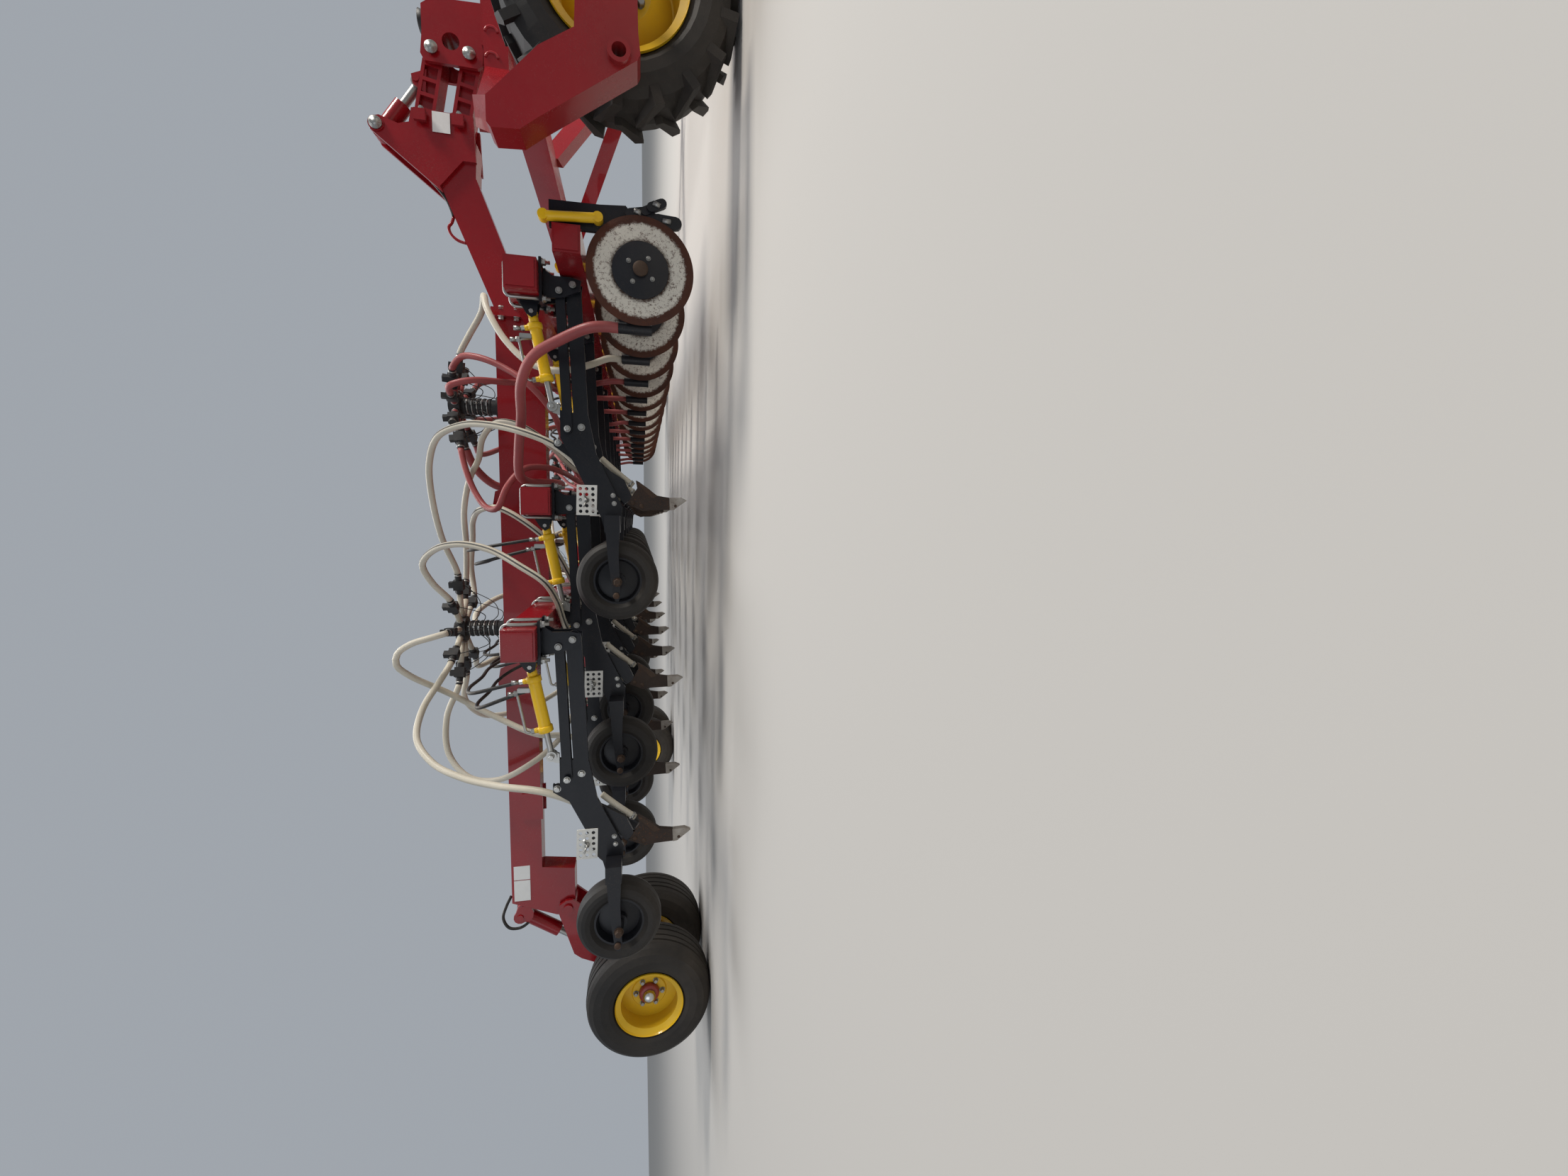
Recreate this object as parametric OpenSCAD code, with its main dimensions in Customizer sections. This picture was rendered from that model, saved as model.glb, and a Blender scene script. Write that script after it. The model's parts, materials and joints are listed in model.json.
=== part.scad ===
// Trailed air seed drill with hoe openers, raised for transport.
// X forward, Y to the left, Z up. The origin is on the ground below the middle of the whole machine.
// All sizes are millimetres.

/* [Openers] */
// Number of openers, three rows of them, with the rear row at both outer ends
opener_n = 25; // [19:3:25]
// Sideways distance between neighbouring openers
opener_pitch = 304.8; // [290:0.1:320]
// How far a toolbar reaches past its last opener
bar_overhang = 175; // [165:1:220]
// Length of an opener's lower arm between its pivots
lower_arm_l = 704; // [690:1:712]
// Length of an opener's upper link between its pivots
upper_link_l = 685; // [675:1:690]
// Height of the knife's tip above the ground while raised
tip_z = 205; // [160:1:240]
// Radius of a packer tyre
packer_r = 218; // [205:1:228]
// Width of a packer tyre
packer_w = 140; // [100:1:150]
// Height of the packer wheels' axle
packer_z = 582; // [560:1:600]
// Distance of the packer wheels' axle behind its toolbar
packer_back = 1512; // [1490:1:1530]

/* [Frame] */
// Size of the square toolbars
bar_s = 152; // [140:1:160]
// Height of the toolbars' middle
bar_z = 1021; // [1010:1:1030]
// Place of the rear toolbar along the machine
rear_bar_x = -1293; // [-1310:1:-1280]
// Place of the middle toolbar along the machine
middle_bar_x = -605; // [-620:1:-590]
// Place of the front toolbar along the machine
front_bar_x = 483; // [470:1:490]
// Distance of each long beam from the centre line
beam_y = 2403; // [2390:1:2415]
// Width of the long beams
beam_w = 150; // [130:1:160]
// Height of the long beams' top above the toolbars' top
beam_rise = 253; // [240:1:265]
// Depth of the long beams
beam_h = 203; // [180:1:210]
// Thickness of the bolted flanges before the front toolbar
flange_t = 25; // [20:1:30]

/* [Rear wheels] */
// Radius of the rear tyres
rear_r = 420; // [400:1:430]
// Width of the rear tyres
rear_w = 360; // [300:1:370]
// Radius of the rear rims' flanges
rear_rim_r = 228; // [215:1:235]
// Place of the rear axles along the machine
rear_x = -3978; // [-3990:1:-3960]
// Distance of a rear wheel's middle from its beam's middle
rear_wheel_off = 322; // [315:1:340]
// Radius of the rear axle shafts
rear_axle_r = 38; // [30:1:42]

/* [Front carriage] */
// Radius of the lugged tyres out to the lugs' tips
lug_r = 548; // [540:1:560]
// Width of the lugged tyres
lug_w = 300; // [290:1:310]
// Height of a lug above the tyre's tread
lug_h = 38; // [25:1:45]
// Lugs on each half of a tyre
lug_n = 18; // [16:1:20]
// Radius of the front rims' flanges
front_rim_r = 320; // [310:1:325]
// Place of the lugged wheels along the machine
front_x = 1650; // [1640:1:1660]
// Distance of a lugged wheel's middle from the centre line
front_y = 3713; // [3700:1:3716]
// Size of the carriage's cross beam
cross_s = 200; // [180:1:210]
// Place of the cross beam along the machine
cross_x = 2250; // [2240:1:2260]

/* [Hitch] */
// Height of the drawbar pin
hitch_z = 470; // [430:1:520]
// Radius of the drawbar pin's hole
hitch_bore_r = 20; // [16:0.5:25]
// Length of the lift links between their pins
link_l = 397; // [390:1:400]
// Slope of the lift links down to the front, degrees
link_slope = 10.5; // [8:0.5:12]

/* [Banding discs] */
// Radius of a banding disc
disc_r = 254; // [230:1:265]
// Height of the discs' middle
disc_z = 453; // [440:1:470]
// Place of the discs along the machine
disc_x = 497; // [485:1:510]
// Size of the square bander bar
bander_s = 127; // [110:1:135]
// Distance of the bander bar's right end from the centre line
bander_right = 3675; // [3670:1:3685]
// Distance of the bander bar's left end from the centre line
bander_left = 3720; // [3700:1:3760]

/* [Hidden] */
$fn = 48;

// Running gap around a pin that another body turns on
pin_gap = 0.08;
red = "#a51420";
maroon = "#7c0f1a";
black = "#23262b";
yellow = "#e8b400";
silver = "#b8bcc0";

// Rows of openers: place of the toolbar, number of its first opener
BAR_X = 0;
FIRST = 1;
rows = [
  [rear_bar_x, 0],
  [front_bar_x, 1],
  [middle_bar_x, 2]
];
REAR = 0;
FRONT = 1;
MIDDLE = 2;

function opener_y(k) = (k - (opener_n - 1) / 2) * opener_pitch;
function row_openers(r) = [for (k = [rows[r][FIRST] : 3 : opener_n - 1]) k];
function last_of(v) = v[len(v) - 1];

bar_top = bar_z + bar_s / 2;
bar_bottom = bar_z - bar_s / 2;
beam_top = bar_top + beam_rise;
beam_bottom = beam_top - beam_h;

// Opener pivots, measured back from the toolbar's middle (negative is rearwards) and up from the ground
arm_front = [4, bar_bottom - 155];
arm_rear = arm_front + lower_arm_l * [-cos(2.3), -sin(2.3)];
link_front = [-30, bar_bottom - 88];
link_rear = link_front + upper_link_l * [-cos(2.3), -sin(2.3)];
opener_pin_r = 11;
arm_out = 105;
arm_t = 24;

// Points of a strap with round ends from p to q, of the given width
function strap(p, q, w, n = 6) =
  let (a = atan2(q[1] - p[1], q[0] - p[0]))
  concat(
    [for (i = [0 : n]) q + w / 2 * [cos(a - 90 + 180 * i / n), sin(a - 90 + 180 * i / n)]],
    [for (i = [0 : n]) p + w / 2 * [cos(a + 90 + 180 * i / n), sin(a + 90 + 180 * i / n)]]
  );

// A tapered strap: round of width w at p, round of width v at q
function taper(p, q, w, v, n = 6) =
  let (a = atan2(q[1] - p[1], q[0] - p[0]))
  concat(
    [for (i = [0 : n]) q + v / 2 * [cos(a - 90 + 180 * i / n), sin(a - 90 + 180 * i / n)]],
    [for (i = [0 : n]) p + w / 2 * [cos(a + 90 + 180 * i / n), sin(a + 90 + 180 * i / n)]]
  );

// A plate standing along the machine: its outline in X and Z, from y to y + t
module plate(points, y, t) {
  translate([0, y + t, 0]) rotate([90, 0, 0]) linear_extrude(t) polygon(points);
}

// A round bar along Y, centred on y
module pin(p, r, y, l, fn = 32) {
  translate([p[0], y - l / 2, p[1]]) rotate([-90, 0, 0]) cylinder(r = r, h = l, $fn = fn);
}

// A square bar between two points
module strut(p, q, w, h) {
  d = q - p;
  run = norm([d[0], d[1]]);
  translate(p) rotate([0, -atan2(d[2], run), atan2(d[1], d[0])])
    translate([0, -w / 2, -h / 2]) cube([norm(d), w, h]);
}

// A round bar between two points
module rod(p, q, r, fn = 32) {
  d = q - p;
  translate(p) rotate([0, acos(d[2] / norm(d)), atan2(d[1], d[0])]) cylinder(r = r, h = norm(d), $fn = fn);
}

// A body turned about the Y axis from points of radius and width
module lathe_y(points, x, y, z, fn = 96) {
  translate([x, y, z]) rotate([90, 0, 0]) rotate_extrude($fn = fn) polygon(points);
}

module both_sides() {
  children();
  mirror([0, 1, 0]) children();
}

// Long beams with the rear knees
knee_bottom = 930;
lift_pivot = [-3450, 975];
lift_pin_r = 32;
beam_rear_x = -3385;
flange_x = front_bar_x + bar_s / 2 + 6;

module main_beams() {
  color(red) both_sides() {
    translate([0, beam_y, 0]) {
      difference() {
        union() {
          plate([
            [beam_rear_x, beam_top], [beam_rear_x - 120, 1055], [beam_rear_x - 140, knee_bottom],
            [beam_rear_x + 215, knee_bottom], [beam_rear_x + 245, beam_bottom],
            [flange_x, beam_bottom], [flange_x, beam_top]
          ], -beam_w / 2, beam_w);
          translate([flange_x, -120, bar_z - 20]) cube([flange_t, 240, beam_top + 15 - bar_z + 20]);
          pin(lift_pivot, lift_pin_r + 24, 0, beam_w + 12);
          plate(taper([-3480, 1275], lift_top, 130, 90), -74, 20);
          plate(taper([-3480, 1275], lift_top, 130, 90), 54, 20);
          plate([[-3380, beam_top - 140], [-3440, beam_top - 140], [-3440, 1260], [-3380, 1260]], -60, 120);
        }
        pin(lift_pivot, lift_pin_r + pin_gap, 0, beam_w + 40);
        pin(lift_top, lift_eye_pin_r + pin_gap, 0, 200);
      }
      rail(rear_bar_x + bar_s / 2, middle_bar_x - bar_s / 2);
      rail(middle_bar_x + bar_s / 2, front_bar_x - bar_s / 2);
      for (x = [-1764, -587]) for (y = [-beam_w / 2, beam_w / 2 - 20])
        plate([
          [x - 72, beam_top - 10], [x - 66, beam_top + 34], [x - 52, beam_top + 46], [x - 22, beam_top + 44],
          [x + 58, beam_top + 30], [x + 74, beam_top - 10]
        ], y, 20);
      for (y = [-beam_w / 2 - 10, beam_w / 2])
        translate([-2780, y, beam_bottom - 15]) cube([190, 10, 136]);
    }
  }
}

// A lower rail between two toolbars, under the long beam
module rail(x0, x1) {
  translate([x0, -beam_w / 2, bar_z + 40]) cube([x1 - x0, beam_w, beam_bottom - bar_z - 40]);
}

// Goosenecks: slope, ears for the lift links and the cylinder tower
gn_x = flange_x + flange_t;
link_rear_x = 1670;
upper_pin_z = 1720;
lower_pin_z = 1513;
tower_pin = [1602, 1965];
hitch_pin_r = 25;
ear_in = 75;
ear_t = 24;
core_w = 140;

module goosenecks() {
  color(red) both_sides() translate([0, beam_y, 0]) difference() {
    union() {
      translate([gn_x, -120, bar_z - 20]) cube([flange_t, 240, beam_top + 15 - bar_z + 20]);
      plate([
        [gn_x + flange_t, beam_bottom], [1379, 1435], [1580, 1426], [1580, 1720], [1483, 1704],
        [gn_x + flange_t, beam_top]
      ], -core_w / 2, core_w);
      for (s = [-1, 1])
        plate([
          [1270, 1621], [1300, 1633], [1460, 1500], [1460, 1426], [1722, 1436], [1722, 1775],
          [1640, 1790], [1622, 1850], [1655, 1950], [1640, 1998], [1570, 1998]
        ], s > 0 ? ear_in - 5 : -ear_in + 5 - ear_t, ear_t);
      pin(tower_pin, hitch_pin_r + 18, (ear_in + ear_t) - 8, 22);
      pin(tower_pin, hitch_pin_r + 18, -(ear_in + ear_t) + 8, 22);
    }
    for (p = [[link_rear_x, upper_pin_z], [link_rear_x, lower_pin_z], tower_pin])
      pin(p, hitch_pin_r + pin_gap, 0, 400);
  }
}

// Three toolbars with closed ends and the blocks that carry the long beams
module toolbars() {
  color(red) for (r = [0 : 2]) {
    ks = row_openers(r);
    y0 = opener_y(ks[0]) - bar_overhang;
    y1 = opener_y(last_of(ks)) + bar_overhang;
    translate([rows[r][BAR_X] - bar_s / 2, y0, bar_bottom]) cube([bar_s, y1 - y0, bar_s]);
    for (y = [y0 - 8, y1])
      translate([rows[r][BAR_X] - bar_s / 2 + 10, y, bar_bottom + 10]) cube([bar_s - 20, 8, bar_s - 20]);
    both_sides() translate([rows[r][BAR_X] - bar_s / 2, beam_y - beam_w / 2 + 5, bar_top])
      cube([bar_s, beam_w - 10, beam_bottom - bar_top]);
  }
}

bander_x = 602;
bander_z = 790;
bander_n = (opener_n + 1) / 2;
function bander_y(j) = (j - (bander_n - 1) / 2) * 2 * opener_pitch;

module bander_bar() {
  color(red) {
    translate([bander_x - bander_s / 2, -bander_right, bander_z - bander_s / 2])
      cube([bander_s, bander_left + bander_right, bander_s]);
    for (y = [-bander_right - 8, bander_left])
      translate([bander_x - bander_s / 2 + 10, y, bander_z - bander_s / 2 + 10])
        cube([bander_s - 20, 8, bander_s - 20]);
  }
}

// Black hangers from the front toolbar to the bander bar
module bander_hangers() {
  color(black) for (k = [-10.5 : 3 : 10.5])
    plate([
      [bander_x - bander_s / 2 - 60, bar_bottom], [bander_x - 14, bar_bottom],
      [bander_x + bander_s / 2, bander_z + bander_s / 2],
      [bander_x - bander_s / 2 - 40, bander_z + bander_s / 2]
    ], (k + 1) * opener_pitch - 20, 40);
}

// Places every opener's copy: children are drawn with the toolbar's middle at X = 0
module each_opener() {
  for (r = [0 : 2]) for (k = row_openers(r)) translate([rows[r][BAR_X], opener_y(k), 0]) children();
}

// Black bracket clamped under the toolbar
module opener_brackets() {
  color(black) each_opener() difference() {
    union() {
      translate([-bar_s / 2 - 12, -110, bar_bottom - 14]) cube([bar_s + 12, 200, 14]);
      translate([-bar_s / 2 - 12, -40, bar_bottom - 14]) cube([12, 80, 50]);
      for (y = [-32, 22])
        plate([
          [-bar_s / 2, bar_z + 30], [-bar_s / 2, bar_bottom], [-95, bar_z - 60], [-150, bar_z - 50],
          [-164, bar_z - 26], [-146, bar_z - 2], [-100, bar_z + 26]
        ], y, 10);
      translate([-bar_s / 2 - 12, -40, bar_z - 60]) cube([12, 80, 100]);
      for (y = [-48, 32])
        plate([
          [-72, bar_bottom - 14], [-60, bar_bottom - 105], [-20, bar_bottom - 190], [30, bar_bottom - 195],
          [42, bar_bottom - 140], [42, bar_bottom - 60], [72, bar_bottom - 14]
        ], y, 16);
    }
    pin(link_front, opener_pin_r + 0.1, 0, 300);
    pin(arm_front, opener_pin_r + 0.1, 0, 300);
  }
}

// Upper links with their pins
module opener_links() {
  color(black) each_opener() {
    plate(strap(link_front, link_rear, 46), -28, 14);
    plate(strap(link_front, link_rear, 46), 14, 14);
    pin(link_front, opener_pin_r, 0, 116, 24);
    pin(link_rear, opener_pin_r, 0, 92, 24);
  }
}

body_rear = [-1230, 608];
arm_nose = [-1600, 588];

// Lower arm, opener body and packer arm of one weldment
module opener_arms() {
  color(black) each_opener() difference() {
    union() {
      plate(strap(arm_front, arm_rear, 74), -12, 24);
      plate([
        arm_rear + [62, -36], [-615, 868], [-760, 868], arm_rear + [-150, 60],
        body_rear + [60, 60], body_rear + [-20, 38], body_rear + [-20, -42], body_rear + [120, -52],
        arm_rear + [-140, -75]
      ], -12, 24);
      translate([body_rear[0] - 20, -arm_out - arm_t, body_rear[1] - 42])
        cube([90, arm_out + arm_t + 12, 80]);
      plate([
        body_rear + [70, -42], body_rear + [70, 38], body_rear + [-150, 22], arm_nose + [10, 16],
        arm_nose + [-16, 4], arm_nose + [-16, -12], arm_nose + [10, -22], body_rear + [-150, -34]
      ], -arm_out - arm_t, arm_t);
      pin([-packer_back, packer_z], 24, (-arm_out - 2 + packer_w / 4) / 2, arm_out + 2 + packer_w / 4);
    }
    pin(arm_front, opener_pin_r + 0.1, 0, 60);
    pin(link_rear, opener_pin_r + 0.1, 0, 60);
  }
  color(silver) each_opener() pin(arm_front, opener_pin_r, 0, 116, 24);
}

// Slanted shanks beside the opener bodies
module opener_shanks() {
  color(silver) each_opener() {
    plate([
      [-760, 905], [-800, 905], [-985, 640], [-1095, 545], [-1065, 500], [-965, 545], [-905, 640]
    ], 12.3, 26);
    rod([-1070.6, hose_out, 559.2], [-1088, hose_out, 537], 24);
  }
}

// Knives with a hard tip
knife_top = [-1052, 548];
module opener_knives() {
  color("#5a4634") each_opener() plate([
    [-965, 545 - 0.5], [-1065, 500 - 0.5], [-1128, 548], [-1150, 530], [-1118, 400], [-1085, 330],
    [-1092, 270], [-1062, tip_z], [-1030, 262], [-1012, 330], [-985, 420], [-955, 505]
  ], 12.3, 26);
}

// Trip cylinders above the links
cyl_front = [-134, bar_z - 26];
cyl_rear = [-599, 905];
module opener_cylinders() {
  color(yellow) each_opener() {
    a = cyl_front + 0.12 * (cyl_rear - cyl_front);
    b = cyl_front + 0.72 * (cyl_rear - cyl_front);
    rod([a[0], 0, a[1]], [b[0], 0, b[1]], 30);
    pin(cyl_front, 26, 0, 44);
  }
}
module opener_rods() {
  color(silver) each_opener() {
    a = cyl_front + 0.72 * (cyl_rear - cyl_front);
    rod([a[0], 0, a[1]], [cyl_rear[0], 0, cyl_rear[1]], 15);
    pin(cyl_rear, 26, 0, 44);
    plate([cyl_rear + [30, 0], cyl_rear + [-30, 0], [-640, 868], [-590, 868]], -9, 18);
  }
}

// Pale plates with two rows of setting holes
module depth_plates() {
  color("white") each_opener() difference() {
    plate([[-1160, 690], [-1160, 795], [-1000, 790], [-1000, 685]], -18.3, 6);
    for (i = [0 : 4]) for (j = [0 : 2])
      pin([-1140 + 30 * i, 708 + 32 * j], 9, -15, 30, 16);
  }
}

// Banding disc arms with the lower slotted lugs
module bander_arms() {
  color(black) for (j = [0 : bander_n - 1]) translate([0, bander_y(j), 0]) {
    plate([
      [bander_x + bander_s / 2, bander_z + 80], [bander_x + bander_s / 2 + 120, bander_z + 80],
      [790, 640], [800, 520], [740, 470], [640, 470], [disc_x - 30, disc_z - 30], [disc_x - 30, disc_z + 30],
      [600, 560], [bander_x + bander_s / 2, 640]
    ], 30, 22);
    pin([disc_x, disc_z], 20, 20, 24);
    plate(strap([disc_x - 20, disc_z + 10], [boot_at[0], 500], 50), 30, 22);
    translate([boot_at[0], boot_at[1], 400]) cylinder(r = 26, h = boot_top - 400);
    plate(strap([760, 500], [775, 430], 44), 8, 22);
    plate(strap([790, 400], [812, 350], 44), -14, 22);
    plate(strap([775, 430], [790, 400], 40), 0, 12);
    plate(strap([742, 370], [738, 285], 60), 8, 22);
    plate(strap([775, 430], [742, 370], 40), 8, 22);
  }
}

// Near-upright cylinders of the banders
module bander_cylinders() {
  color(yellow) for (j = [0 : bander_n - 1]) translate([0, bander_y(j), 0]) {
    rod([716, 5, 660], [700, 5, 880], 22);
    pin([716, 648], 24, 8, 44);
    pin([700, 892], 24, 8, 44);
  }
}

// Flat banding discs with hubs
module bander_discs() {
  color("#6b4a35") for (j = [0 : bander_n - 1])
    lathe_y([
      [0, -7], [20 + pin_gap, -7], [20 + pin_gap, -26], [30, -26], [30, -20], [40, -20],
      [40, -9], [112, -9], [112, -3], [disc_r - 18, -3],
      [disc_r, -0.8], [disc_r, 0.8], [disc_r - 18, 3], [0, 3]
    ], disc_x, bander_y(j), disc_z);
}

// Packer wheels of one row: hub and dished disc
module packer_wheels(r) {
  color(black) for (k = row_openers(r))
    lathe_y([
      [24 + pin_gap, -30], [40, -30], [40, -10], [105, -26],
      [118, -packer_w / 2 + 22], [128, -packer_w / 2 + 22],
      [128, packer_w / 2 - 22], [118, packer_w / 2 - 22], [105, 4], [40, 12], [40, 44], [24 + pin_gap, 44]
    ], rows[r][BAR_X] - packer_back, opener_y(k), packer_z);
}

module packer_tyres(r) {
  b = 128 + pin_gap;
  w = packer_w / 2;
  color("#1b1c1e") for (k = row_openers(r))
    lathe_y([
      [b, -w + 22], [b + 20, -w + 4], [b + 45, -w], [packer_r - 26, -w + 4], [packer_r - 8, -w + 22],
      [packer_r, -w + 48], [packer_r, w - 48], [packer_r - 8, w - 22], [packer_r - 26, w - 4],
      [b + 45, w], [b + 20, w - 4], [b, w - 22]
    ], rows[r][BAR_X] - packer_back, opener_y(k), packer_z);
}

module packer_wheels_front() { packer_wheels(FRONT); }
module packer_wheels_middle() { packer_wheels(MIDDLE); }
module packer_wheels_rear() { packer_wheels(REAR); }
module packer_tyres_front() { packer_tyres(FRONT); }
module packer_tyres_middle() { packer_tyres(MIDDLE); }
module packer_tyres_rear() { packer_tyres(REAR); }

// Rear lift arms: a fork around the knee, a cross box, the cylinder's horn and the axle
lift_top = [-3500, 1300];
lift_horn = [-3780, 880];
lift_eye_pin_r = 22;
fork_in = 88;
fork_t = 20;

module lift_arms() {
  color(red) both_sides() translate([0, beam_y, 0]) {
    for (s = [0, 1])
      plate([
        lift_pivot + [60, 10], lift_pivot + [30, 60], lift_pivot + [-40, 62], lift_horn + [-20, 60],
        lift_horn + [-62, 10], [rear_x - 75, rear_r + 30], [rear_x - 60, rear_r - 70],
        [rear_x + 50, rear_r - 80],
        lift_pivot + [20, -75], lift_pivot + [62, -30]
      ], s == 0 ? -fork_in - fork_t : fork_in, fork_t);
    pin(lift_pivot, lift_pin_r, 0, 2 * (fork_in + fork_t) + 30);
    pin(lift_horn, lift_eye_pin_r, 0, 2 * fork_in);
    translate([rear_x + 60, -fork_in, rear_r + 20]) cube([130, 2 * fork_in, 110]);
    pin([rear_x, rear_r], 55, 0, 2 * fork_in + 2 * fork_t + 10);
    pin([rear_x, rear_r], rear_axle_r, 0, 2 * (rear_wheel_off + 70));
  }
}

// Cylinder barrels and rods of the rear lift
lift_dir = (lift_horn - lift_top) / norm(lift_horn - lift_top);
lift_len = norm(lift_horn - lift_top);
lift_barrel_l = 300;
lift_barrel_r = 48;
lift_rod_r = 24;

module cylinder_barrel(top, dir, l, r, rod_r, eye_r, pin_r, w) {
  a = top + dir * (eye_r - 6);
  b = top + dir * l;
  difference() {
    union() {
      rod([a[0], 0, a[1]], [b[0], 0, b[1]], r);
      pin(top, eye_r, 0, w);
    }
    rod(
      [a[0] + dir[0] * 13, 0, a[1] + dir[1] * 13], [b[0] + dir[0] * 9, 0, b[1] + dir[1] * 9],
      rod_r + pin_gap
    );
    pin(top, pin_r + pin_gap, 0, 2 * w);
  }
}

module cylinder_rod(end, dir, l, rod_r, eye_r, bore_r, w) {
  a = end - dir * l;
  b = end - dir * (eye_r - 5);
  difference() {
    union() {
      rod([a[0], 0, a[1]], [b[0], 0, b[1]], rod_r);
      pin(end, eye_r, 0, w);
    }
    pin(end, bore_r, 0, 2 * w);
  }
}

module lift_cylinders() {
  color(red) both_sides() translate([0, beam_y, 0])
    cylinder_barrel(lift_top, lift_dir, lift_barrel_l, lift_barrel_r, lift_rod_r, 40, lift_eye_pin_r, 98);
  color(silver) both_sides() translate([0, beam_y, 0]) pin(lift_top, lift_eye_pin_r, 0, 164);
}

module lift_rods() {
  color(silver) both_sides() translate([0, beam_y, 0])
    cylinder_rod(lift_horn, lift_dir, lift_len - 200, lift_rod_r, 42, lift_eye_pin_r + 6, 60);
}

// Twin rear wheels of one side
rear_bead_r = 205;
module rear_rims(side) {
  w = rear_w / 2;
  color(yellow) for (s = [-1, 1])
    translate([rear_x, side * beam_y + s * rear_wheel_off, rear_r])
      rotate([0, 0, s * 90 + 90]) rotate([90, 0, 0])
      rotate_extrude($fn = 96) polygon([
        [rear_axle_r + pin_gap, -62], [62, -62], [62, 20], [110, 20], [120, 12], [185, 12], [190, -w + 40],
        [rear_rim_r - 6, -w + 22], [rear_rim_r, -w + 10], [rear_rim_r, -w + 24], [rear_bead_r, -w + 42],
        [rear_bead_r, w - 42], [rear_rim_r, w - 24], [rear_rim_r, w - 10], [rear_rim_r - 6, w - 22],
        [190, w - 40], [192, 26], [120, 26], [112, 34], [62, 34], [62, 60], [rear_axle_r + pin_gap, 60]
      ]);
}

module rear_tyres(side) {
  w = rear_w / 2;
  b = rear_bead_r + pin_gap;
  groove = 9;
  color("#1b1c1e") for (s = [-1, 1])
    lathe_y([
      [b, -w + 47], [rear_rim_r + 4, -w + 27], [rear_rim_r + 14, -w + 12], [rear_rim_r + 40, -w + 3],
      [320, -w], [368, -w + 10],
      [398, -w + 36], [rear_r - 8, -w + 60],
      [rear_r - 3, -86], [rear_r - groove, -84], [rear_r - groove, -74], [rear_r, -72],
      [rear_r, -36], [rear_r - groove, -34], [rear_r - groove, -24], [rear_r, -22],
      [rear_r, 22], [rear_r - groove, 24], [rear_r - groove, 34], [rear_r, 36],
      [rear_r, 72], [rear_r - groove, 74], [rear_r - groove, 84], [rear_r - 3, 86],
      [rear_r - 8, w - 60], [398, w - 36], [368, w - 10], [320, w], [rear_rim_r + 40, w - 3],
      [rear_rim_r + 14, w - 12], [rear_rim_r + 4, w - 27], [b, w - 47]
    ], rear_x, side * beam_y + s * rear_wheel_off, rear_r);
}

module rear_rims_right() { rear_rims(-1); }
module rear_tyres_right() { rear_tyres(-1); }
module rear_rims_left() { rear_rims(1); }
module rear_tyres_left() { rear_tyres(1); }

// Outlets of a tower's head: turn about the tower, reach out to the valve, lift of the valve
outlets = [
  [12, 330, 0], [48, 280, 6], [85, 300, 0], [122, 270, 6], [158, 320, 0],
  [192, 285, 6], [228, 345, 0], [264, 275, 6], [300, 310, 0], [336, 290, 6]
];
TURN = 0;
REACH = 1;
LIFT = 2;

// Air distribution towers on the beams
// The towers: place along the beam, height of the head, share of the outlets' reach, droop of the outlets
towers = [
  [-1440, 1590, 1, 0],
  [15, 1575, 0.8, 9]
];
PLACE = 0;
HEAD = 1;
SHARE = 2;
DROOP = 3;
module air_towers() {
  color(black) both_sides() for (t = towers) translate([t[PLACE], beam_y, beam_top]) {
    cylinder(r = 70, h = 14);
    cylinder(r = 48, h = t[HEAD] - beam_top);
    for (i = [0 : 5]) translate([0, 0, 50 + i * 30]) cylinder(r = 54, h = 12);
  }
}

module tower_heads() {
  color(black) both_sides() for (t = towers) translate([t[PLACE], beam_y, t[HEAD]]) {
    cylinder(r = 82, h = 58);
    translate([0, 0, 58]) cylinder(r = 44, h = 18);
    for (o = outlets) rotate([0, 0, o[TURN]]) translate([60, 0, 29]) rotate([0, t[DROOP], 0]) {
      rotate([0, 90, 0]) cylinder(r = 16, h = t[SHARE] * o[REACH] - 60, $fn = 24);
      translate([t[SHARE] * o[REACH] - 72, 0, o[LIFT]]) gate_valve();
    }
  }
}

// Shut-off valve of one outlet: body, lever's housing and the collars along it
module gate_valve() {
  translate([-45, -25, -30]) cube([64, 50, 60]);
  translate([-30, -16, 20]) cube([38, 32, 38]);
  translate([-72, 0, 0]) rotate([0, 90, 0]) cylinder(r = 21, h = 136, $fn = 24);
}

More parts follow.
